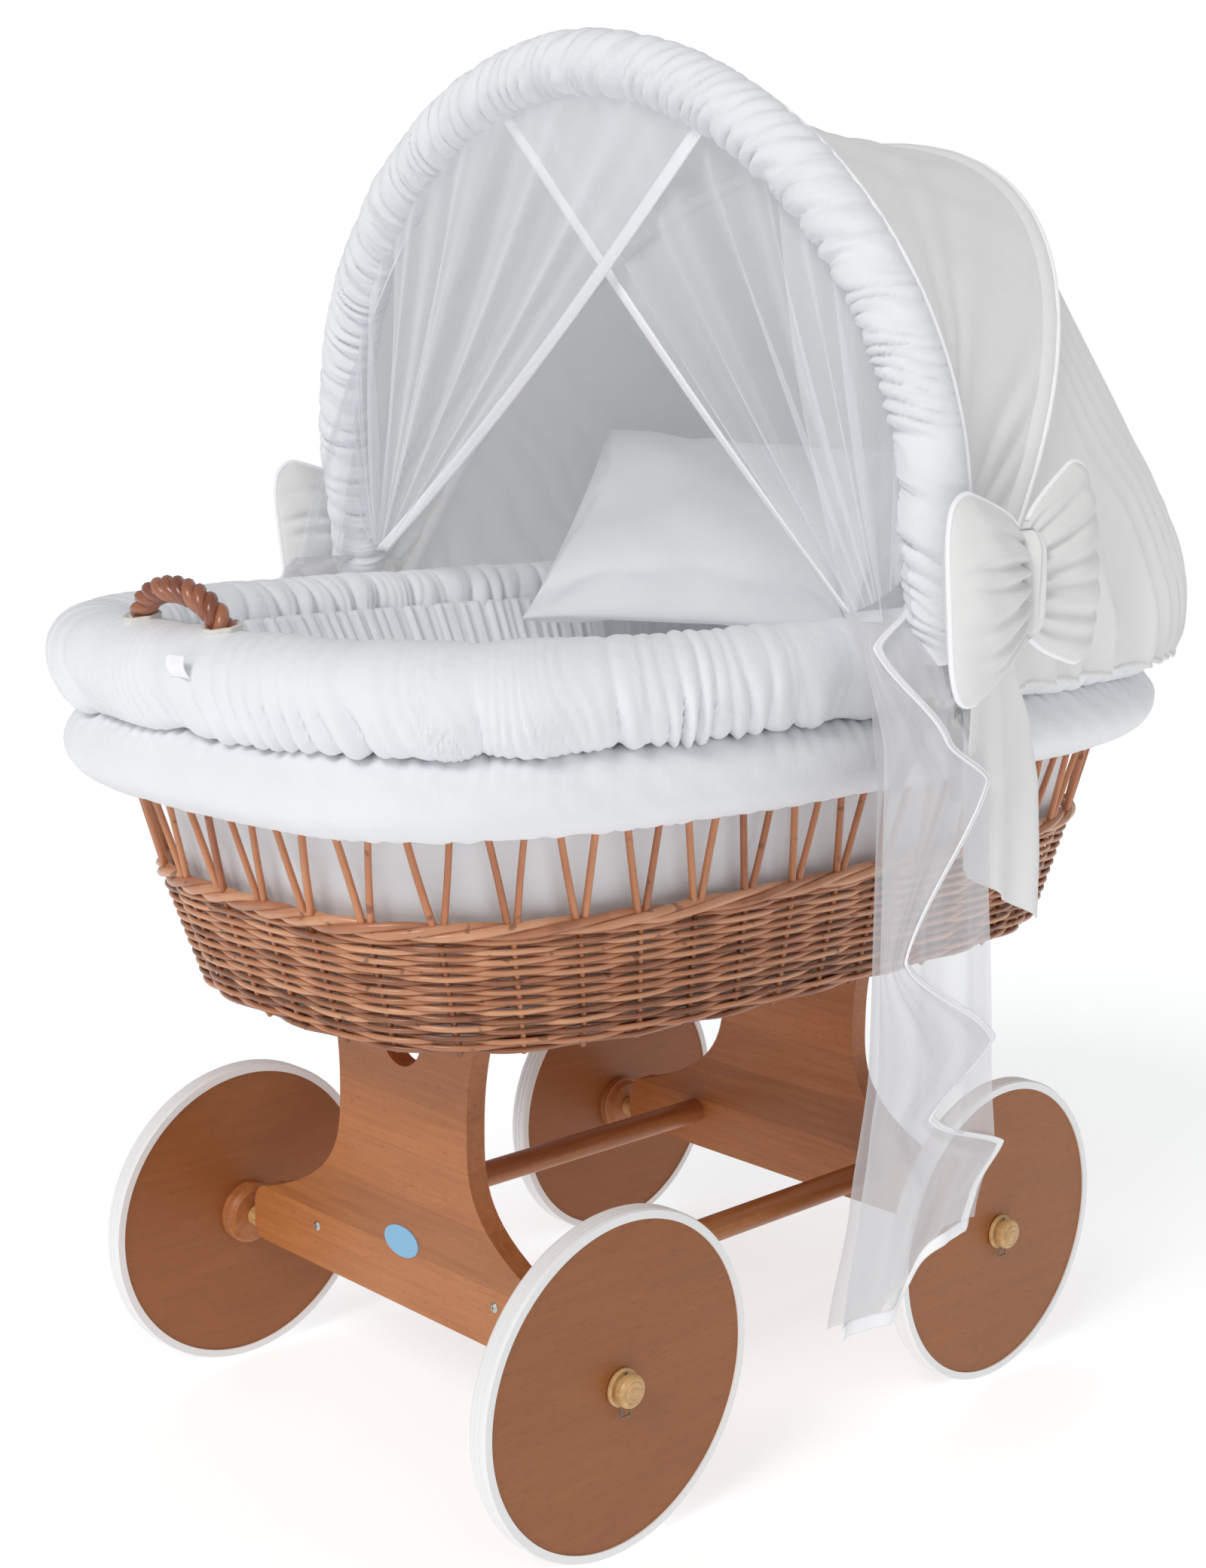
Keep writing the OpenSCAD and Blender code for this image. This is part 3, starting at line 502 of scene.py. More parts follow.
def metal(name, colour, rough):
    """Brushed metal with fine scratches"""
    s = Shader(name)
    scratch = s.noise(s.stretch(s.object, (400, 400, 90)), 1, 3)
    return s.done(
        Base_Color=s.mix(scratch, shade(colour, 0.8), colour),
        Metallic=1.0,
        Roughness=s.math("MULTIPLY_ADD", scratch, 0.25, rough - 0.12),
        Normal=s.bump(scratch, 0.15, 0.05),
    )


def moulded(name, colour, rough, grain, size):
    """Rubber or plastic with fine pits and a little dust"""
    s = Shader(name)
    pits = s.noise(s.object, size, 2)
    dust = s.noise(s.object, 14, 3)
    return s.done(
        Base_Color=s.mix(dust, shade(colour, 0.94), colour),
        Roughness=s.math("MULTIPLY_ADD", pits, 0.2, rough - 0.1),
        Normal=s.bump(pits, grain, 0.15),
    )


BEECH_DARK, BEECH, BEECH_LIGHT = (0.36, 0.118, 0.032), (0.44, 0.158, 0.048), (0.50, 0.200, 0.070)
board_wood = wood("stained_beech_boards", BEECH_DARK, BEECH, BEECH_LIGHT, along=1, layer=46)
rod_wood = wood("stained_beech_rods", shade(BEECH_DARK, 0.85), shade(BEECH, 0.85), BEECH_LIGHT, along=0)
disc_wood = wood(
    "stained_plywood_discs", (0.29, 0.090, 0.018), (0.32, 0.104, 0.023), (0.35, 0.120, 0.030),
    along=0, figure=0.04, rough=0.5
)
turned_wood = wood("stained_beech_turned", BEECH_DARK, BEECH, BEECH_LIGHT, along=1)
cap_wood = wood(
    "pale_beech_turned", (0.42, 0.22, 0.075), (0.60, 0.36, 0.15), (0.72, 0.48, 0.24), along=1, rough=0.35
)
bent_wood = wood("bent_beech_hoops", (0.45, 0.26, 0.12), (0.62, 0.40, 0.2), (0.72, 0.5, 0.28), along=1)
weave_willow = willow_shader(
    "lacquered_willow_weave", (0.20, 0.066, 0.026), (0.46, 0.180, 0.082), (0.66, 0.33, 0.18)
)
stake_willow = willow_shader(
    "lacquered_willow_stakes", (0.33, 0.100, 0.036), (0.50, 0.175, 0.068), (0.60, 0.25, 0.11)
)
rope_willow = willow_shader(
    "lacquered_rope", (0.17, 0.042, 0.016), (0.33, 0.098, 0.040), (0.45, 0.17, 0.08), coat=0.7
)
rubber = moulded("white_rubber", (0.90, 0.90, 0.90), 0.5, 0.25, 900)
zinc = metal("zinc_steel", (0.62, 0.62, 0.6), 0.38)
dull_wire = metal("clip_wire", (0.25, 0.23, 0.2), 0.45)
badge_blue = moulded("pale_blue_badge", (0.24, 0.50, 0.74), 0.3, 0.1, 500)
cotton = cloth("white_cotton", (0.88, 0.895, 0.925), crease=0.8)
# painted shade: the hood's white cotton is darkened to grey, and its emission is painted glow
cotton_hood_painted_shade = cloth("white_cotton_hood_painted_shade", (0.66, 0.655, 0.65), crease=0.6, painted_glow=0.15)
# painted shade: the bows' white cotton is darkened, with a faint painted glow
cotton_bow_painted_shade = cloth("white_cotton_bow_painted_shade", (0.78, 0.775, 0.77), crease=0.9, painted_glow=0.03)
# faint painted glow on the bedding, in place of light inside the basket
bedding = cloth("bedding_cotton", (0.82, 0.83, 0.86), weave=0.45, crease=0.4, painted_glow=0.04)
cover = cloth("mattress_cover_cloth", (0.78, 0.78, 0.76), weave=0.7)
# painted glow that brightens the tape
tape_cloth = cloth("satin_tape", (0.88, 0.88, 0.9), weave=0.35, crease=0.2, sheen=0.5, painted_glow=0.12)
natural = cloth("unbleached_cuff_cloth", (0.80, 0.78, 0.72), weave=0.6)
# painted glow that brightens the voile
voile = sheer("white_voile", (0.88, 0.90, 0.94), 0.22, 0.70, painted_glow=0.09)
# painted shade: the veil's falling end is the white voile darkened, with a faint painted glow; it is also
# more opaque
voile_tail_painted_shade = sheer("white_voile_folded_painted_shade", (0.76, 0.755, 0.78), 0.46, 0.88, across=(0, 1), painted_glow=0.04)


def finish(node, material, edge):
    """Gives a CAD node its material and, for wood, a fine rounded edge"""
    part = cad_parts[node]
    if not part.material_slots:
        part.data.materials.append(material)
    for place in part.material_slots:
        place.material = material
    if edge:
        weld = part.modifiers.new("weld", "WELD")
        weld.merge_threshold = 2e-5
        bevel = part.modifiers.new("edge", "BEVEL")
        bevel.width = edge * MM
        bevel.segments = 2
        bevel.limit_method = "ANGLE"
        bevel.angle_limit = math.radians(40)
        part.modifiers.new("normals", "WEIGHTED_NORMAL")


WHEELS = ("foot_near", "foot_far", "head_near", "head_far")
for material, edge, nodes in (
    (board_wood, 1.6, ("foot_board", "head_board")),
    (rod_wood, 0, ("near_stretcher", "far_stretcher")),
    (disc_wood, 0, [wheel + "_disc" for wheel in WHEELS]),
    (rubber, 0, [wheel + "_tyre" for wheel in WHEELS]),
    (turned_wood, 0, [wheel + "_hub" for wheel in WHEELS]),
    (cap_wood, 0, ("axle_caps", "axle_spacers")),
    (stake_willow, 0, ("basket_base", "basket_rim")),
    (zinc, 0, ("stretcher_screws", "axles", "basket_screws", "front_hoop_lugs", "rear_rib_lugs")),
    (zinc, 0, ("hood_brackets", "hood_bolts", "hood_washers", "hood_sleeves")),
    (dull_wire, 0, ("axle_clips",)),
    (badge_blue, 0, ("badge_plate",)),
    (bent_wood, 0, ("front_hoop", "rear_rib")),
):
    for node in nodes:
        finish(node, material, edge)


# ---------- wicker ----------

def outward(path):
    """Level direction away from the basket's middle at the start of an upright path"""
    return unit(path[0] * [1, 1, 0] - [BASKET_X, 0, 0])


def weave_wall(z):
    """Half length and half width of the woven wall's outer face at height z"""
    u = (z - WEAVE_LOW - 6) / (WEAVE_TOP - WEAVE_LOW - 6)
    dip = np.where(z < WEAVE_LOW + 6, (WEAVE_LOW + 6 - z), 0.0)
    u = np.clip(u, 0, 1)
    return (
        WEAVE_LOW_A + (BORDER_A + 1.5 - WEAVE_LOW_A) * u - dip,
        WEAVE_LOW_B + (BORDER_B + 1.5 - WEAVE_LOW_B) * u - dip,
    )


def woven_wall():
    """Rings of rod that pass before and behind upright warps in turn"""
    rows, per_warp, rod_r, warp_r, swing, depth_in = 23, 8, 2.25, 2.7, 3.1, 3.9
    rng = np.random.default_rng(11)
    u = ring_shares(STAKE_PAIRS * per_warp)
    t = along(u)
    beat = np.cos(np.pi * (u * STAKE_PAIRS - 0.5))
    parts, tones = [], []
    for row in range(rows):
        z = WEAVE_LOW + 3 + (WEAVE_TOP - WEAVE_LOW - 5) * row / (rows - 1)
        z = z + 0.5 * noise1(u, 9, 100 + row) + 0.35 * noise1(u, 60, 300 + row)
        a, b = weave_wall(z)
        side = beat * (-1) ** row
        depth = -depth_in + swing * np.sign(side) * np.abs(side) ** 0.8 + 0.3 * noise1(u, 40, 500 + row)
        path = ring_points(t, z, a + depth, b + depth)
        radius = rod_r * (1 + 0.10 * noise1(u, 6, 700 + row))
        parts.append(rod(path, radius, UP, 7, closed=True, squash=1.08))
        tones.append(rng.uniform(0.1, 1.0))
    for k in range(STAKE_PAIRS):
        z = np.linspace(WEAVE_LOW - 1, WEAVE_TOP + 4, 9)
        a, b = weave_wall(z)
        path = ring_points(along((k + 0.5) / STAKE_PAIRS), z, a - depth_in, b - depth_in)
        parts.append(rod(path, warp_r, outward(path), 7))
        tones.append(rng.uniform(0.1, 0.7))
    make("woven_willow_wall", parts, weave_willow, "frame", ["basket_weave"], tones)


def twisted_border():
    """Three strands twisted round the top of the weave"""
    strands, turns, strand_r, helix_r = 3, 15, 3.9, 3.6
    t = 360 * np.arange(900) / 900
    parts = []
    for k in range(strands):
        q = np.radians(turns * t + 360 * k / strands) + 0.25 * noise1(t / 360, 12, 40 + k)
        out = helix_r * np.cos(q)
        path = ring_points(t, BORDER_Z + helix_r * 1.1 * np.sin(q), BORDER_A + out, BORDER_B + out)
        parts.append(rod(path, strand_r * (1 + 0.07 * noise1(t / 360, 20, 60 + k)), UP, 9, closed=True))
    tones = [0.75, 0.45, 0.95]
    make("twisted_willow_border", parts, weave_willow, "frame", ["basket_border"], tones)


def stakes():
    """Pairs of upright rods that open towards the rim; the spreads are shares of the rim's length"""
    foot_spread, head_spread, stake_r = 0.0013, 0.0078, 3.1
    rng = np.random.default_rng(23)
    z = np.linspace(BORDER_Z - 4, RIM_Z + 2, 14)
    share = (z - BORDER_Z) / (RIM_Z - BORDER_Z)
    a, b = BORDER_A + (RIM_A - BORDER_A) * share, BORDER_B + (RIM_B - BORDER_B) * share
    spread = foot_spread + (head_spread - foot_spread) * share
    parts, tones = [], []
    for k in range(STAKE_PAIRS):
        for side in (-1, 1):
            bend = rng.uniform(-0.0006, 0.0006) * np.sin(np.pi * np.clip(share, 0, 1))
            path = ring_points(along((k + 0.5) / STAKE_PAIRS + side * spread + bend), z, a, b)
            radius = stake_r * (rng.uniform(0.92, 1.08) - 0.1 * share)
            parts.append(rod(path, radius, outward(path), 9))
            tones.append(rng.uniform(0.15, 0.95))
    make("willow_stakes", parts, stake_willow, "frame", ["basket_stakes"], tones)


def handle_x(end, z):
    """Place of a handle's leaning plane along the cradle at height z"""
    return BASKET_X + end * (RIM_A - 1 + HANDLE_LEAN * (z - RIM_Z))


def handle_path(end, low, count):
    """Arched path of a rope handle from one leg to the other, starting and ending at height low"""
    half, shoulder = HANDLE_HALF, HANDLE_SHOULDER
    leg = np.linspace(low, shoulder, 30, endpoint=False)
    q = np.radians(np.linspace(180, 0, 90))
    y = np.concatenate([np.full(30, -half), half * np.cos(q), np.full(30, half)])
    z = np.concatenate([leg, shoulder + (HANDLE_TOP - shoulder) * np.sin(q), leg[::-1]])
    return spaced(xyz(handle_x(end, z), y, z), count)


def rope_handle(name, node, end):
    """Three twisted strands, with a cloth cuff where each leg leaves the roll"""
    pitch, helix_r, strand_r = 40, 5.4, 5.3
    path, at = handle_path(end, 640.0, 260)
    d = unit(np.gradient(path, axis=0))
    side = np.array([1.0, 0.0, HANDLE_LEAN])
    n = unit(side - (d @ side)[:, None] * d)
    b = np.cross(d, n)
    parts = []
    for k in range(3):
        q = 2 * np.pi * (at / pitch + k / 3)
        centre = path + helix_r * (np.cos(q)[:, None] * n + np.sin(q)[:, None] * b)
        parts.append(rod(centre, strand_r, side, 10))
    make(name, parts, rope_willow, "frame", [node], [0.8, 0.5, 0.25])
    for tag, ys in (("near", -1), ("far", 1)):
        cuff = make(name + "_cuff_" + tag, [handle_cuff(end, ys)], natural, "frame")
        thicken(cuff, 1.4)


def handle_cuff(end, ys):
    """Flared, slightly wavy cloth sleeve round one leg of a rope handle, its lip turned in"""
    z = np.linspace(CUFF_Z - 10, CUFF_Z + 11, 16)
    middle = xyz(handle_x(end, z), ys * HANDLE_HALF, z)
    q = 2 * np.pi * np.arange(40) / 40
    flare = (12.0 + 2.0 * (np.abs(z - CUFF_Z) / 11) ** 1.5)[:, None]
    flare = flare + 0.9 * np.sin(7 * q + 1.3)[None] + 0.5 * np.sin(13 * q)[None]
    around = np.stack([np.cos(q), np.sin(q), -HANDLE_LEAN * end * np.cos(q)], -1)
    shape = middle[:, None] + flare[..., None] * around[None]
    lip = shape[-1:] + (middle[-1:, None] - shape[-1:]) * 0.2 - [0, 0, 5]
    return grid(np.concatenate([shape, lip]), close_v=True)


woven_wall()
twisted_border()
stakes()
for tag, end in (("foot", -1), ("head", 1)):
    rope_handle(tag + "_rope_handle", tag + "_handle", end)


# ---------- nest ----------

def roll_section(q, t, z, a, b, r, swell=1.0):
    """Ring surface with section angle q in radians, outwards at 0 and upwards at a quarter turn"""
    out = r * np.cos(q) * np.where(np.cos(q) > 0, swell, 1.0)
    return ring_points(t, z + r * np.sin(q), a + out, b + out)


def bumper_roll():
    """Lower roll, smooth outside, with fine gathers on its crown and beneath"""
    count, swell = 720, 1.22
    t, u = even_t(count), ring_shares(count)
    q = section_angles(36)
    crown = np.exp(-((q[None] - 1.15) / 0.55) ** 2)
    under = np.exp(-((q[None] + 1.7) / 0.5) ** 2)
    r = BUMPER_R + 1.2 * noise1(u, 14, 3)[:, None] * np.cos(q[None] * 2 + 3 * noise1(u, 5, 4)[:, None])
    r = r + 2.2 * crown * folds(u, 120, 5)[:, None] + 2.4 * under * folds(u, 130, 6)[:, None]
    r = r + 0.9 * noise1(u[:, None] + 0.02 * q[None], 60, 7) * np.cos(q[None] - 0.6)
    shape = grid(roll_section(q[None], t[:, None], RIM_Z, RIM_A, RIM_B, r, swell), True, True)
    make("bumper_roll_cover", [shape], cotton, "frame", ["bumper_roll"])


def nest_roll():
    """Upper gathered roll: deep folds outside below and on the inner face, and a lip over the bumper roll"""
    count = 1500
    t, u = even_t(count), ring_shares(count)
    q = section_angles(44)[None]
    slant = 0.0012 * np.sin(q + 0.7) * (1 + noise1(u, 30, 21)[:, None])
    low = np.exp(-((q + 0.85) / 0.65) ** 2)
    inner = np.exp(-((np.abs(q) - 2.75) / 0.7) ** 2)
    coarse = folds((u[:, None] + 2.6 * slant) % 1, 74, 22, wander=0.9, sharp=0.75)
    fine = folds((u[:, None] + 4 * slant) % 1, 170, 25, wander=0.6, sharp=1.0)
    patch = 0.75 + 0.45 * noise1(u, 33, 28)[:, None]
    r = NEST_R - 0.6 + (1.6 + 6.6 * low + 4.0 * inner) * coarse * patch
    r = r + (0.4 + 1.3 * low + 1.0 * inner) * fine
    lip = 9.0 * np.exp(-((q + 1.25) / 0.4) ** 2)
    r = r + 1.2 * noise1(u, 24, 26)[:, None] * np.cos(q - 1.2) + lip
    shape = grid(roll_section(q, t[:, None], NEST_Z, NEST_A, NEST_B, r), True, True)
    make("nest_roll_cover", [shape], cotton, "frame", ["nest_roll"])


def nest_wall():
    """Cloth wall seen between the stakes, drawn up in gathers into the roll"""
    count = 1100
    t, u = even_t(count), ring_shares(count)
    profile = [
        # share of the way up, height, half length, half width
        [0.0, 424, 411, 220], [0.34, 519, 442, 237], [0.56, 592, 463, 249],
        [0.68, 634, 441, 224], [0.78, 664, 443, 225], [1.0, 712, 466, 247]
    ]
    v = np.linspace(0, 1, 46)
    z, a, b = (np.interp(v, [row[0] for row in profile], [row[k] for row in profile]) for k in (1, 2, 3))
    upper = smooth((v - 0.55) / 0.2)
    ripple = upper * 2.4 * folds(u, 150, 22, sharp=0.8)[:, None] + upper * 1.2 * folds(u, 260, 25)[:, None]
    swell = (1 - upper) * np.sin(np.pi * np.clip(v / 0.6, 0, 1)) ** 0.5
    dents = 2.2 * noise1(u, 40, 31)[:, None] + 1.2 * noise1(u[:, None] + 0.01 * v, 90, 32)
    ripple = ripple - swell * (1.5 + dents)
    wall = ring_points(t[:, None], z[None] + 0 * ripple, a[None] + ripple, b[None] + ripple)
    shape = grid(wall, close_u=True)
    thicken(make("nest_cloth_wall", [shape], cotton, "frame", ["nest_liner"]), 1.0)


def stack(name, profile, material, node, lumps, seams):
    """Closed soft block from rows [height, half length, half width], with lumps and piped seams"""
    count = 300
    t, u = even_t(count), ring_shares(count)
    rows = np.array(profile, float)
    at = np.linspace(0, len(rows) - 1, 6 * len(rows))
    z, a, b = (np.interp(at, np.arange(len(rows)), rows[:, k]) for k in range(3))
    wave = lumps * noise1(u[:, None] + 0.01 * at[None], 12, 41) * np.minimum(1, a / 300)[None]
    flat = ring_points(t[:, None], z[None] + 0.6 * wave, a[None] + wave, b[None] + wave)
    parts = [cap_ends(grid(flat, close_u=True), count, len(at), first_up=False)]
    for height, sa, sb in seams:
        parts.append(rod(ring_points(t, height, sa, sb), 2.4, UP, 8, closed=True))
    make(name, parts, material, "frame", [node])


def duvet():
    """Smooth crowned cover with shallow dimples and a few long creases towards the pillow"""
    count, rings = 260, 46
    t = even_t(count)[:, None]
    low, high = box_mm("duvet")
    k = np.sin(np.linspace(0, 1, rings) * np.pi / 2)[None]
    a, b = (high[0] - low[0]) / 2 * k, (high[1] - low[1]) / 2 * k
    dome = (1 - np.clip(k, 0, 1) ** 3.2) ** 0.6
    p = oval(t, a, b)
    x, y = p[..., 0], p[..., 1]
    crease = 1.6 * np.sin(0.045 * x + 0.03 * y + 1.4 * np.sin(0.013 * y + 0.4))
    crease = crease + 1.4 * np.sin(0.021 * x - 0.052 * y)
    z = low[2] + 88 + (high[2] - low[2] - 92) * dome + crease * smooth(dome * 2)
    top = np.concatenate([p, z[..., None]], -1)[:, ::-1]
    tuck = ring_points(t, np.linspace(low[2] + 80, low[2], 10)[None], a[:, -1:] - 1 - 0 * t, b[:, -1:] - 1)
    points = np.concatenate([top[:, ::-1], tuck], 1)
    closed = cap_ends(grid(points[:, 1:], close_u=True), count, points.shape[1] - 1, first_up=True)
    make("duvet_cover", [closed], bedding, "frame", ["duvet"])


def settle(piece, pressure, cap):
    """Inflates a closed cover with a short cloth simulation, keeps each point within cap of where it began"""
    rest = np.array([v.co for v in piece.data.vertices])
    scene = bpy.context.scene
    scene.frame_set(1)
    sim = piece.modifiers.new("cloth", "CLOTH")
    settings = sim.settings
    settings.quality = 6
    settings.mass = 0.25
    settings.tension_stiffness = settings.compression_stiffness = 12.0
    settings.shear_stiffness = 4
    settings.bending_stiffness = 0.4
    settings.use_pressure = True
    settings.uniform_pressure_force = pressure
    settings.effector_weights.gravity = 0
    for number in range(1, 21):
        scene.frame_set(number)
    moved = piece.evaluated_get(bpy.context.evaluated_depsgraph_get()).data
    now = np.array([v.co for v in moved.vertices])
    piece.modifiers.remove(sim)
    scene.frame_set(1)
    step = now - rest
    size = np.linalg.norm(step, axis=1, keepdims=True)
    step = step * np.minimum(1, cap * MM / np.maximum(size, 1e-9))
    piece.data.vertices.foreach_set("co", (rest + step).astype(np.float32).ravel())
    piece.data.update()


def pillow_grid(nx, ny, half_x, half_y, half_t):
    """Two crowned sheets sewn round their border, sides pulled in between pointed corners"""
    pull = 0.045
    x, y = np.meshgrid(np.linspace(-1, 1, nx), np.linspace(-1, 1, ny), indexing="ij")
    x, y = np.sin(x * np.pi / 2) * 0.55 + x * 0.45, np.sin(y * np.pi / 2) * 0.55 + y * 0.45
    px = half_x * x * (1 - pull * (1 - y ** 2) * np.abs(x) ** 3)
    py = half_y * y * (1 - pull * (1 - x ** 2) * np.abs(y) ** 3)
    crown = half_t * ((1 - np.abs(x) ** 2.6) * (1 - np.abs(y) ** 2.6)) ** 0.6
    edge = np.minimum(1, 4 * np.minimum(1 - np.abs(x), 1 - np.abs(y)))
    rng = np.random.default_rng(51)
    pucker = 0.0
    for _ in range(7):
        size = rng.uniform(0.2, 0.6)
        pucker = pucker + size * np.sin(rng.uniform(4, 16) * x + rng.uniform(4, 16) * y + 6 * rng.uniform())
    z = crown + pucker * edge
    top = np.stack([px, py, z], -1).reshape(-1, 3)
    bottom = np.stack([px, py, -z * 0.9], -1).reshape(-1, 3)
    index = np.arange(nx * ny).reshape(nx, ny)
    rim = np.zeros((nx, ny), bool)
    rim[0], rim[-1], rim[:, 0], rim[:, -1] = True, True, True, True
    under = index.copy()
    under[~rim] = nx * ny + np.arange((~rim).sum())
    verts = np.concatenate([np.where(rim.reshape(-1, 1), top * [1, 1, 0], top), bottom[~rim.ravel()]])
    faces, uvs = [], []
    for i in range(nx - 1):
        for j in range(ny - 1):
            corners = [(i, j), (i + 1, j), (i + 1, j + 1), (i, j + 1)]
            for sheet, around in ((index, corners), (under, corners[::-1])):
                faces.append([int(sheet[c]) for c in around])
                uvs += [[px[c] * MM, py[c] * MM] for c in around]
    return verts, faces, np.array(uvs)


def turn(axis, degrees):
    return Matrix.Rotation(math.radians(degrees), 4, axis)


def shift(x, y, z):
    return Matrix.Translation((x * MM, y * MM, z * MM))


def pillow():
    """Inflated pillow with one corner drooping"""
    inset, corner_droop = 2.0, 30.0
    shape = pillow_grid(64, 56, PILLOW_W / 2 + inset, PILLOW_H / 2 + inset, PILLOW_T / 2 * 0.86)
    made = make("pillow_cover", [shape], bedding, None, ["pillow"], origin=(0, 0, 0))
    settle(made, 4.0, 12)
    for vertex in made.data.vertices:
        x, y = vertex.co.x / (PILLOW_W / 2 * MM), vertex.co.y / (PILLOW_H / 2 * MM)
        vertex.co.y += corner_droop * MM * smooth((1 - x) / 2) * smooth((1 - y) / 2)
    x, y, z = PILLOW_AT
    made.data.transform(
        shift(WHEELS_X + x, y, z) @ turn("Z", PILLOW_YAW) @ turn("Y", PILLOW_TILT)
        @ shift(PILLOW_H / 2, 0, 26) @ turn("Z", 90)
    )
    made.modifiers.new("smooth", "SUBSURF").levels = 1
    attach(made, "frame")
    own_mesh(made)


def fabric_tag():
    """Small plain folded label sewn to the nest roll"""
    low, high = box_mm("fabric_tag")
    u = np.linspace(0, 1, 16)
    y = np.linspace(low[1], high[1], 14)
    x = low[0] + 1 - 3.0 * np.sin(np.pi * u) + 4 * u
    z = high[2] - (high[2] - low[2] + 3) * u
    shape = grid(xyz(x[:, None] + 0.8 * np.sin(y / 4)[None], y[None], z[:, None] + 0.4 * np.sin(y / 5)[None]))
    thicken(make("plain_fabric_tag", [shape], tape_cloth, "frame", ["fabric_tag"]), 0.9)


bumper_roll()
nest_roll()
nest_wall()
stack("mattress_cover", [
    # height, half length, half width
    [426, 150, 80], [425, 380, 190], [427, 398, 206], [434, 405, 212], [470, 406.5, 214.5], [516, 405, 212],
    [523, 398, 206], [526, 380, 190], [528, 150, 80]
], cover, "mattress", 0.8, [(434, 406, 213), (517, 406, 213)])
duvet()
pillow()
fabric_tag()


# ---------- hood ----------

def hoop_padding():
    """Gathered padded sleeve of the front hoop, with diagonal gathers and a piped seam behind"""
    count, ring = 1150, 34
    path, out, length = arch(HOOP_B, HOOP_LEG, HOOP_H, HOOP_N, 46, count)
    u = np.linspace(0, 1, count)[:, None]
    foot = smooth(np.minimum(u, 1 - u) * length / 40)
    q = section_angles(ring)[None]
    front = 0.5 + 0.5 * np.cos(q + 2.2)
    slant = 0.010 * np.sin(q + 1.2) + 0.004 * noise1(u, 25, 61)
    coarse = folds(u + slant, length / 17, 62, sharp=0.8)
    fine = folds(u + 1.6 * slant, length / 9.5, 65)
    r = PAD_R - 0.7 + (0.9 + 2.6 * front) * coarse + (0.3 + 1.0 * front) * fine + 0.6 * noise1(u, 16, 66)
    r = r * (0.5 + 0.5 * foot)
    y = path[:, :1] + r * np.cos(q) * out[:, :1]
    s = path[:, 1:] + r * np.cos(q) * out[:, 1:]
    points = in_plane(y, s, r * np.sin(q), HOOP_TILT)[:, ::-1]
    shape = grid(points, close_v=True, caps=True)
    make("front_hoop_cover", [shape], cotton, "hood_front", ["front_hoop_padding"])
    seam = in_plane(*(path + 17 * out).T, 21.5, HOOP_TILT)
    piping = rod(seam, 1.9, plane_normal(HOOP_TILT), 8)
    make("front_hoop_piping", [piping], tape_cloth, "hood_front")


def rib_channel():
    """Cloth channel of the rear rib with a piped edge"""
    count = 420
    path, out, _ = arch(RIB_B, RIB_LEG, RIB_H, RIB_N, 60, count)
    normal = plane_normal(RIB_TILT)
    channel_r = 8.2 + 0.35 * noise1(np.linspace(0, 1, count), 40, 71)
    channel = rod(in_plane(*path.T, 0, RIB_TILT), channel_r, normal, 14)
    make("rear_rib_channel", [channel], cotton_hood_painted_shade, "hood_rear")
    piping = rod(in_plane(*(path + 8.4 * out).T, 1.5, RIB_TILT), 2.0, normal, 8)
    make("rear_rib_piping", [piping], tape_cloth, "hood_rear")


def corner_folds(u, w, length, width, seed):
    """Soft folds that fan out from the lower corner at u = 0, w = 0"""
    angle = np.arctan2(w * width, u * length + 45) / (np.pi / 2)
    wave = np.sin(2 * np.pi * (8 * angle + 0.7 * noise1(angle, 3, seed)))
    return wave * np.exp(-u * length / 420) * smooth(6 * w * (1 - w) + 0.1)


def front_panel():
    """Sheet between the hoop and the rib, sagging a little, with folds that fan out of its lower corners"""
    count, across = 300, 34
    front, _, length = arch(HOOP_B, HOOP_LEG, HOOP_H, HOOP_N, 86, count)
    rear, _, _ = arch(RIB_B, RIB_LEG, RIB_H, RIB_N, 86, count)
    p = in_plane(*front.T, 20, HOOP_TILT)
    r = in_plane(*rear.T, -4, RIB_TILT)
    u = np.linspace(0, 1, count)[:, None]
    w = np.linspace(0, 1, across)[None]
    inward = unit(np.array([120, 0, PIVOT_Z]) - (p + r) / 2)
    gap = np.linalg.norm(r - p, axis=1)[:, None]
    sag = 11 * np.sin(np.pi * w) * np.minimum(1, gap / 120)
    fold = 4.2 * corner_folds(u, w, length, 260, 81) + 4.2 * corner_folds(1 - u, w, length, 260, 83)
    fold = fold + 2.6 * noise1(u + 0.05 * w, 12, 84) * np.sin(np.pi * w)
    rise = (sag + fold)[..., None] * inward[:, None]
    points = p[:, None] * (1 - w)[..., None] + r[:, None] * w[..., None] + rise
    made = make("hood_front_fabric", [grid(points)], cotton_hood_painted_shade, None, ["hood_front_panel"])
    thicken(follow(made), 1.2)


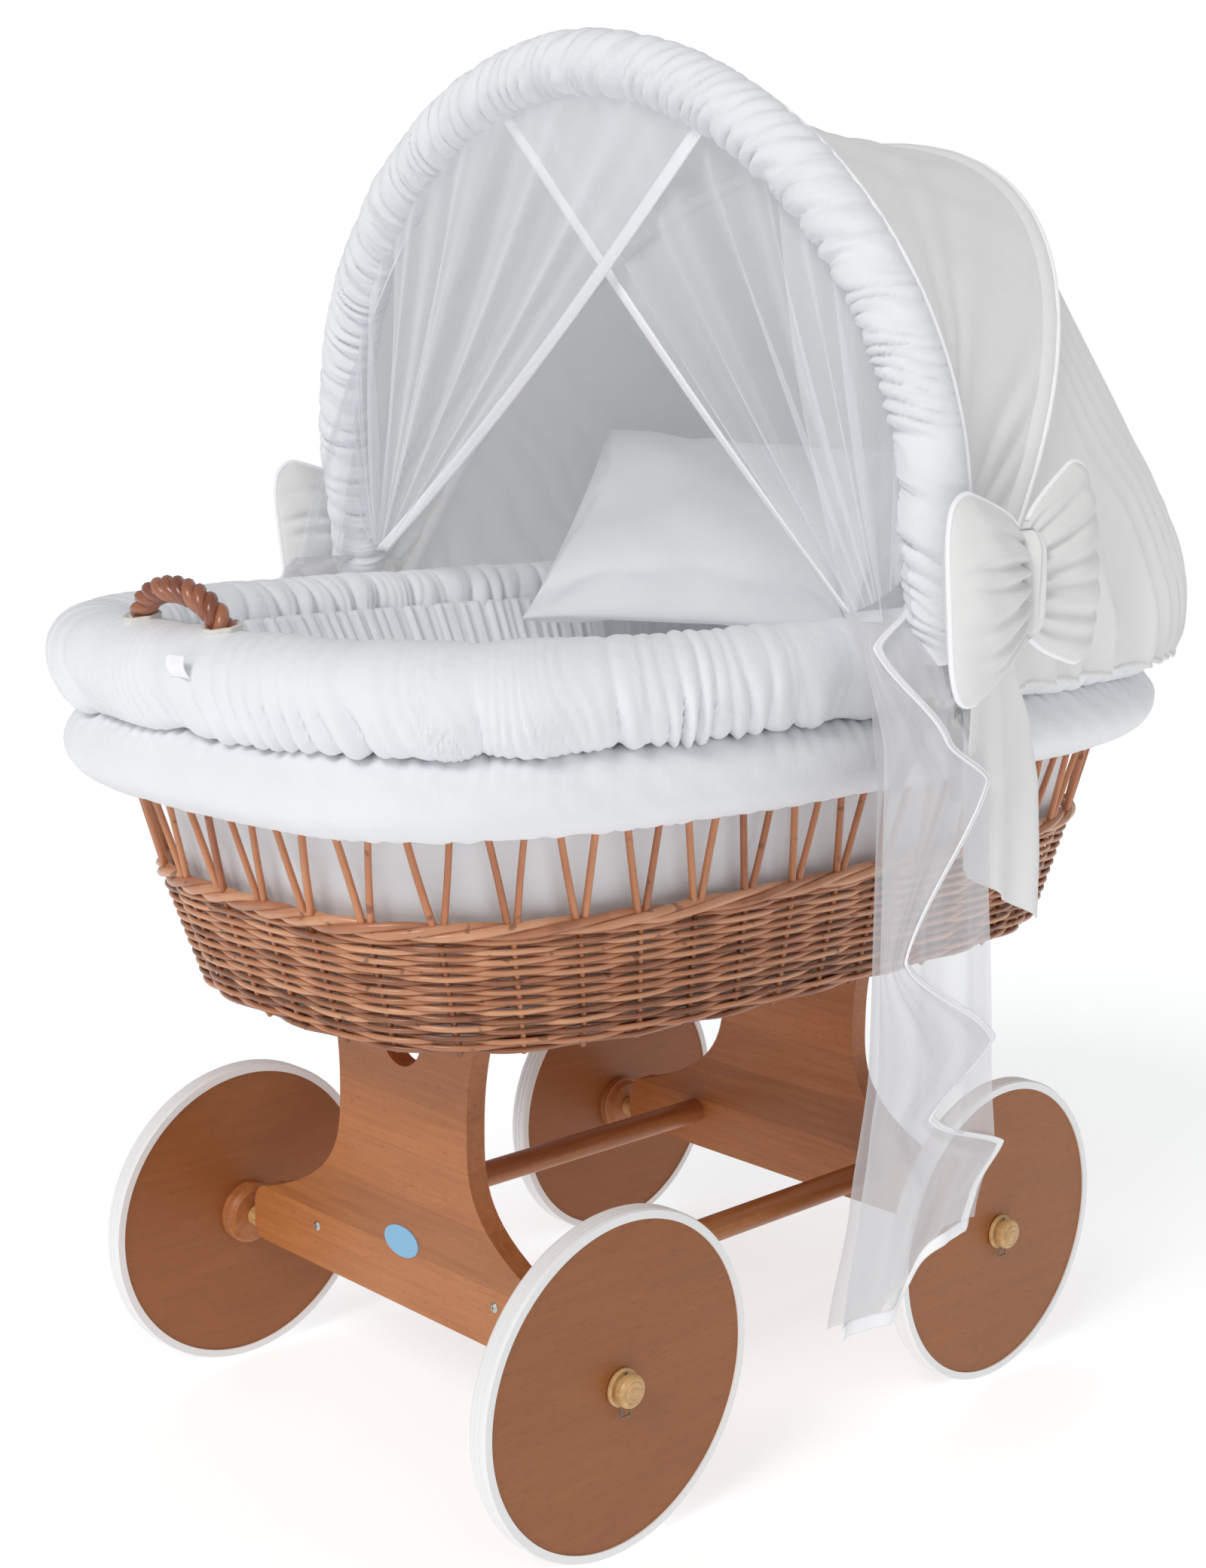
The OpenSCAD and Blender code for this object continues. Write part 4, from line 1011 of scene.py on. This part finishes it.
def rear_panel():
    """Sheet from the rib to its hem over the roll; it bulges out, and gathers towards the hem.

    Its upper edge runs along the rib and its lower edge lies on the basket.
    """
    count, down = 460, 40
    rear, _, _ = arch(RIB_B, RIB_LEG, RIB_H, RIB_N, 86, count)
    u = np.linspace(0, 1, count)
    t = -90 + 180 * u
    hem = np.concatenate([oval(t, HEM_A, HEM_B, 3.0), np.full((count, 1), HEM_Z)], -1)
    c, s = np.cos(np.radians(t)), np.sin(np.radians(t))
    out = np.stack([c, 0.12 * s, 0 * s], -1)
    p = in_plane(*rear.T, 4, RIB_TILT)
    q1 = p * 0.6 + hem * 0.4 + out * 40
    q2 = hem + out * (66 + 32 * c ** 2)[:, None] + np.stack([0 * c, 0 * c, 20 + 96 * c], -1)
    w = np.linspace(0, 1, down)
    k = [((1 - w) ** 3), 3 * w * (1 - w) ** 2, 3 * w * w * (1 - w), w ** 3]
    points = sum(x[None, :, None] * v[:, None] for x, v in zip(k, (p, q1, q2, hem)))
    du, dv = np.gradient(points, axis=0), np.gradient(points, axis=1)
    normal = unit(np.cross(du, dv))
    uu, ww = u[:, None], w[None]
    gather = 0.25 * np.exp(-ww / 0.08) + smooth((ww - 0.30) / 0.6)
    wave = folds(uu + 0.006 * noise1(ww, 2, 91), 34, 92, wander=0.8, sharp=0.9) * (2.2 + 8.0 * gather)
    wave = wave + folds(uu, 90, 95) * 1.8 * smooth((ww - 0.7) / 0.3)
    wave = wave + 2.4 * noise1(uu + 0.04 * ww, 7, 96) * np.sin(np.pi * ww)
    ends = smooth(uu / 0.03) * smooth((1 - uu) / 0.03)
    points = points + (wave * ends * np.minimum(1, 8 * ww) * 0.9)[..., None] * normal
    made = make("hood_rear_fabric", [grid(points)], cotton_hood_painted_shade, None, ["hood_rear_panel"])
    thicken(follow(made), 1.2)
    band = rod(points[:, -1], 2.6 + 0.5 * noise1(u, 60, 97), UP, 8)
    made = make("hood_rear_hem", [band], cotton_hood_painted_shade, None)
    follow(made)


def edge_tape(name, points, toward, width, body=None, weights=None):
    """Narrow tape sewn along an edge, folded slightly over it; it rides on body, and when weights are given
    its placement is baked into its mesh
    """
    side = unit(toward - points)
    normal = unit(np.cross(np.gradient(points, axis=0), side))
    cross = np.linspace(-0.5, width, 6)[None, :, None]
    bulge = 0.7 * np.sin(np.pi * np.linspace(0, 1, 6))[None, :, None]
    sheet = points[:, None] + cross * side[:, None] + bulge * normal[:, None]
    made = make(name, [grid(sheet)], tape_cloth, body)
    if weights is not None:
        follow(made)
    thicken(made, 1.6)


def curtain(tag, side, depth, spread, reach):
    """Gathered sheer curtain from the top of the hoop to the gather beside one bow.

    It lies depth behind the hoop's plane, its gather is spread wide, and it goes reach degrees over the arch.
    """
    across, down = 420, 70
    path, out, _ = arch(HOOP_B, HOOP_LEG, HOOP_H, HOOP_N, 100, across, reach)
    top = path - VOILE_INSET * out
    u = np.linspace(0, 1, across)
    gather_y = HOOP_B - 34
    low = np.stack([-gather_y + spread * u, 108 - 0.55 * spread * u - 3 * np.sin(np.pi * u)], -1)
    w = np.linspace(0, 1, down)
    flat = top[:, None] * (1 - w)[None, :, None] + low[:, None] * w[None, :, None]
    droop = 14 * np.sin(np.pi * w)[None] * smooth(u)[:, None] ** 2
    width = 2.0 + 10.0 * np.sin(np.pi * w) ** 0.7 + 1.5 * w
    wave = folds(u, 7, 111 + side, wander=1.2, sharp=2.0)[:, None] * 1.3 * width[None]
    wave = wave + noise1(u, 16, 121 + side)[:, None] * (1.2 + 0.8 * w)[None]
    v = depth + wave * 0.6 + 6 * np.sin(np.pi * w)[None] * noise1(u, 4, 131 + side)[:, None]
    points = in_plane(flat[..., 0] * -side, flat[..., 1] - droop, v, HOOP_TILT)
    make(tag + "_curtain_voile", [grid(points)], voile, "hood_front", [tag + "_curtain"])
    edge_tape(tag + "_curtain_tape", points[-1], points[-30], 12.0, "hood_front")


def hanging_voile(tag, side):
    """Outer part of the curtain, hanging from the hoop's leg straight over the roll to the falling end"""
    across, down = 70, 60
    foot_x, foot_width, foot_y, foot_z = -108, 84, -352.0, 748.0
    u, w = np.linspace(0, 1, across)[:, None], np.linspace(0, 1, down)[None]
    path, out, _ = arch(HOOP_B, HOOP_LEG, HOOP_H, HOOP_N, 120, 600, 50.0)
    at = ((1 - u[:, 0]) * 590).astype(int)
    top = in_plane(*(path[at] - VOILE_INSET * out[at]).T, 6, HOOP_TILT)
    foot = xyz(foot_x + foot_width * u[:, 0], foot_y, foot_z)
    points = top[:, None] * (1 - w)[..., None] + foot[:, None] * w[..., None]
    wave = (1 + 5 * w) * np.sin(2 * np.pi * (2.2 * u + 0.1)) + 0.8 * w * np.sin(2 * np.pi * 5.3 * u)
    points[..., 0] -= 14 * np.sin(np.pi * w) * (1 - u)
    points[..., 1] += wave
    points[..., 1] *= -side
    made = make(tag + "_hanging_voile", [grid(points)], voile, None)
    follow(made)


# Outlines of the veil's falling end: rows of height, left x, right x and distance from the middle plane. The
# right edge of the first swings out and in at each turn of its zigzag.
FRONT_FOLDS = [
    [755, -110, -25, 345], [730, -110, -90, 365], [655, -115, -30, 390], [620, -115, 25, 390],
    [490, -115, -80, 395], [405, -115, 45, 395], [355, -120, -35, 395], [295, -130, 65, 395],
    [235, -140, 30, 395], [200, -150, 10, 400]
]
BACK_SHEET = [
    [755, -110, -25, 345], [705, -110, -15, 370], [620, -115, 30, 385],
    [405, -115, 45, 390], [295, -130, 55, 390], [205, -150, 30, 390]
]


def fall(side, rows, depth, seed):
    """One layer of the veil's falling end, as a grid of points over height and width, with its weights"""
    down, across = 240, 44
    w = np.linspace(0, 1, down)
    z = rows[0][0] - (rows[0][0] - rows[-1][0]) * w
    left, right, out = (through(rows, z, k) for k in (1, 2, 3))
    u = np.linspace(0, 1, across)[None]
    x = left[:, None] + (right - left)[:, None] * u
    spread = np.clip((right - left) / 150, 0.3, 1.2)[:, None]
    start = smooth(w / 0.12)[:, None]
    wave = depth * start * np.sin(2 * np.pi * (2.4 * u + 0.35 * w[:, None] + seed)) * spread
    wave = wave + 0.8 * start * np.sin(2 * np.pi * (5.3 * u + 0.3 * w[:, None] + seed))
    drop = 48 * smooth((w[:, None] - 0.72) / 0.28) * smooth((u - 0.35) / 0.4)
    points = xyz(x, side * (out[:, None] + wave), z[:, None] + drop)
    if side > 0:
        points[..., 2] = rows[0][0] - FAR_VEIL * (rows[0][0] - points[..., 2])
    return points, smooth((points[:, 0, 2] - 600) / 150)


def veil_tail(tag, side):
    """Falling end of the veil outside the basket: a broad sheet, and before it the zigzag of its free edge"""
    for name, rows, depth, seed, nodes in (
        ("_veil_back", BACK_SHEET, 3.0, 0.3, ()),
        ("_veil_voile", FRONT_FOLDS, 3.2, 0.1, [tag + "_veil_tail"]),
    ):
        points, weights = fall(side, rows, depth, seed)
        made = make(tag + name, [grid(points)], voile_tail_painted_shade, None, nodes)
        follow(made)
    edge_tape(tag + "_veil_tape", points[:, -1], points[:, -4], 11.0, None, weights)
    edge_tape(tag + "_veil_hem_tape", points[-1], points[-8], 11.0, None, np.zeros(points.shape[1]))


def place_bow(piece, side):
    """Moves a piece of a bow from the bow's own axes to one side of the hood"""
    piece.data.transform(
        Matrix.Scale(-1 if side > 0 else 1, 4, (0, 1, 0)) @ shift(WHEELS_X + BOW_X, -BOW_Y, BOW_Z)
        @ turn("Z", BOW_YAW) @ turn("Y", BOW_LIFT) @ turn("X", 90)
    )
    if side > 0:
        piece.data.flip_normals()
    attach(piece, "hood_front")


def lobe_outline(u, v):
    """Reach and half height of a bow's lobe from the knot to its rounded outer end"""
    corner = np.clip((u - 0.7) / 0.3, 0, 1)
    reach = 4 + LOBE_W * u * (1 - 0.08 * np.abs(v) ** 5 * u ** 2)
    return reach, (38 + 42 * np.clip(u / 0.75, 0, 1) ** 0.6) * (1 - 0.10 * corner ** 3)


def lobe(direction, seed):
    """Puffed bow lobe with creases that fan out of the knot, and the piping along its edge"""
    nu, nv = 64, 72
    u = np.linspace(0, 1, nu)[:, None]
    v = np.linspace(-1, 1, nv)[None]
    x, h = lobe_outline(u, v)
    edge = (1 - v ** 2) ** 0.45 * (1 - u ** 9) ** 0.5
    rng = np.random.default_rng(seed)
    crease = 0.0
    for middle in (-0.78, -0.5, -0.2, 0.08, 0.36, 0.66, 0.86):
        at = middle + rng.uniform(-0.05, 0.05) + rng.uniform(-0.10, 0.10) * u
        valley = np.exp(-((v - at) / rng.uniform(0.05, 0.09)) ** 2)
        crease = crease + valley * np.exp(-u * rng.uniform(0.6, 2.2))
    ripple = 0.8 * np.sin(7 * u + 4 * v + seed) + 0.5 * np.sin(15 * u - 6 * v + 2 * seed)
    plump = 12 + 13 * np.sin(np.pi * np.clip(0.92 * u, 0, 1)) ** 0.8
    half = edge * (plump - 11 * np.minimum(crease, 1.0) + 1.5 * ripple * u)
    y = h * v
    top, bottom = xyz(direction * x, y, half), xyz(direction * x, y, -half * 0.8)
    loop = np.concatenate([top, bottom[:, ::-1][:, 1:-1]], 1)
    if direction > 0:
        loop = loop[:, ::-1]
    body = grid(loop, close_v=True)
    edge_v = np.concatenate([np.full(26, -1.0), np.linspace(-1, 1, 40)[1:-1], np.full(26, 1.0)])
    edge_u = np.concatenate([np.linspace(0.04, 1, 26), np.ones(38), np.linspace(1, 0.04, 26)])
    ex, eh = lobe_outline(edge_u, edge_v)
    edge = np.stack([direction * ex, eh * edge_v, 0 * ex], -1)
    return body, rod(edge, 2.3, np.array([0, 0, 1.0]), 8)


def bow(tag, side):
    """Two lobes with piping, and the gathered knot between them"""
    def piece(name, part, material, nodes=()):
        name = tag + "_bow_" + name
        made = make(name, [part], material, None, nodes, origin=(0, 0, 0))
        place_bow(made, side)
        return made

    for name, direction, seed in (("front", -1, 1), ("rear", 1, 4)):
        body, edge = lobe(direction, seed)
        made = piece(name + "_lobe", body, cotton_bow_painted_shade, [tag + "_bow"] if name == "front" else ())
        made.modifiers.new("smooth", "SUBSURF").levels = 1
        piece(name + "_piping", edge, tape_cloth)
    q = 2 * np.pi * np.arange(56) / 56
    w = np.linspace(-1, 1, 40)[:, None]
    size = (1 - np.abs(w) ** 6) ** 0.5
    ridge = 1 + 0.07 * np.cos(9 * q + 2.0 * w)[None][0] * (1 - 0.4 * w ** 2)
    knot = xyz(
        9.5 * np.sign(np.cos(q)) * np.abs(np.cos(q)) ** 0.85 * size * ridge + 1.5 * np.sin(2 * w),
        43 * w,
        19 * np.sign(np.sin(q)) * np.abs(np.sin(q)) ** 0.85 * size * ridge
    )
    piece("knot", grid(knot[1:-1], close_v=True, caps=True), cotton_bow_painted_shade)


# Outline of a bow's ribbon end, as rows of height, middle x, half width and drop of its rear edge
BOW_TAIL = [
    [748, 22, 12, 0], [705, 34, 27, 4], [660, 44, 40, 6],
    [615, 50, 50, 12], [572, 54, 54, 32], [548, 56, 54, 56]
]


def bow_tail(tag, side):
    """Ribbon end that hangs from the knot and widens to a slanting hem"""
    down, across = 90, 36
    w = np.linspace(0, 1, down)[:, None]
    z = BOW_TAIL[0][0] - (BOW_TAIL[0][0] - BOW_TAIL[-1][0]) * w
    middle, half, drop = (through(BOW_TAIL, z[:, 0], k)[:, None] for k in (1, 2, 3))
    u = np.linspace(-1, 1, across)[None]
    y = HOOP_B + 16 + (3 + 3 * w) * np.sin(2.2 * np.pi * u + 1.2 + w) * smooth(w * 5)
    y = y + 1.5 * np.sin(5 * np.pi * u) * smooth(w * 3) * (1 - w)
    points = xyz(middle + half * u, side * y, z - drop * (u + 1) / 2)
    shape = grid(points)
    made = make(tag + "_bow_ribbon_end", [shape], cotton_hood_painted_shade, None, [tag + "_bow_tail"])
    thicken(follow(made), 1.6)


hoop_padding()
rib_channel()
front_panel()
rear_panel()
curtain("near", -1, 3.0, 62.0, 107.0)
curtain("far", 1, -9.0, 22.0, 119.0)
for tag, side in (("near", -1), ("far", 1)):
    hanging_voile(tag, side)
    veil_tail(tag, side)
    bow(tag, side)
    bow_tail(tag, side)


# ---------- floor, light and camera ----------

def pale_floor():
    """Pale floor that glows to plain white away from the cradle"""
    s = Shader("pale_floor")
    away = s.node("VectorMath", {0: s.object}, output="Value", operation="LENGTH")
    far = s.ramp(s.math("DIVIDE", away, 6.0), (0.18, 0.0), (0.75, 1.0))
    near = s.mix(s.noise(s.object, 1.2), (0.56, 0.58, 0.59), (0.58, 0.60, 0.61))
    floor_material = s.done(
        Base_Color=s.mix(far, near, (0, 0, 0)),
        Roughness=0.8,
        Specular_IOR_Level=0.1,
        Emission_Color=(1.0, 1.0, 1.0),
        Emission_Strength=s.math("MULTIPLY_ADD", far, 0.37, 0.65),
    )
    sides, radius = 64, 16000
    q = np.linspace(0, 2 * np.pi, sides, endpoint=False)
    disc = np.stack([radius * np.cos(q), radius * np.sin(q), 0 * q], -1)
    floor = make("floor", [(disc, [list(range(sides))], np.zeros((sides, 2)))], floor_material)


def white_sky():
    """Even white surroundings, brighter to the camera than they light the cradle"""
    light_strength, seen_strength = 0.36, 1.05
    world = bpy.data.worlds.new("studio")
    bpy.context.scene.world = world
    world.use_nodes = True
    tree = world.node_tree
    background = tree.nodes["Background"]
    path = tree.nodes.new("ShaderNodeLightPath")
    strength = tree.nodes.new("ShaderNodeMix")
    strength.inputs[2].default_value = light_strength
    strength.inputs[3].default_value = seen_strength
    tree.links.new(path.outputs["Is Camera Ray"], strength.inputs[0])
    tree.links.new(strength.outputs[0], background.inputs["Strength"])
    background.inputs["Color"].default_value = (*COOL_WHITE, 1)


def sun(name, direction, strength, angle, colour):
    """Broad soft light that comes from a direction, its angle in degrees"""
    light = bpy.data.lights.new(name, "SUN")
    light.energy, light.angle, light.color = strength, math.radians(angle), colour
    holder = bpy.data.objects.new(name, light)
    holder.rotation_mode = "QUATERNION"
    z = unit(np.array(direction, float))
    x = unit(np.cross([0, 1, 0.01], z))
    y = np.cross(z, x)
    from_up = Matrix((x, y, z)).transposed()
    holder.rotation_quaternion = from_up.to_quaternion()
    bpy.context.scene.collection.objects.link(holder)


def camera():
    """Camera that looks at aim from an azimuth and elevation, turned a little about its own axis"""
    aim = np.array([WHEELS_X * MM - 0.1, 0.0, 0.52])
    azimuth, elevation, roll = np.radians([-42.7, 11.7, 0.5])
    distance = 1.95
    level = math.cos(elevation)
    forward = np.array([-math.sin(azimuth) * level, math.cos(azimuth) * level, -math.sin(elevation)])
    right = unit(np.cross(forward, UP))
    up = np.cross(right, forward)
    right, up = (
        math.cos(roll) * right + math.sin(roll) * up, -math.sin(roll) * right + math.cos(roll) * up
    )
    data = bpy.data.cameras.new("camera")
    data.lens, data.sensor_width = 50.4, 36.0
    data.shift_x = data.shift_y = 0.04
    holder = bpy.data.objects.new("camera", data)
    turned = Matrix((right, up, -forward)).transposed().to_4x4()
    holder.matrix_world = Matrix.Translation(aim - distance * forward) @ turned
    bpy.context.scene.collection.objects.link(holder)
    bpy.context.scene.camera = holder


pale_floor()
white_sky()
sun("key_light", (-0.85, -0.20, 0.75), 1.24, 22, (1.0, 0.99, 0.97))
sun("front_light", (-0.66, -0.72, 0.35), 0.30, 60, (1.0, 0.99, 0.98))
sun("side_light", (0.5, -0.8, 0.5), 0.1, 50, (1.0, 0.97, 0.94))
camera()
bpy.context.scene.view_settings.view_transform = "Standard"
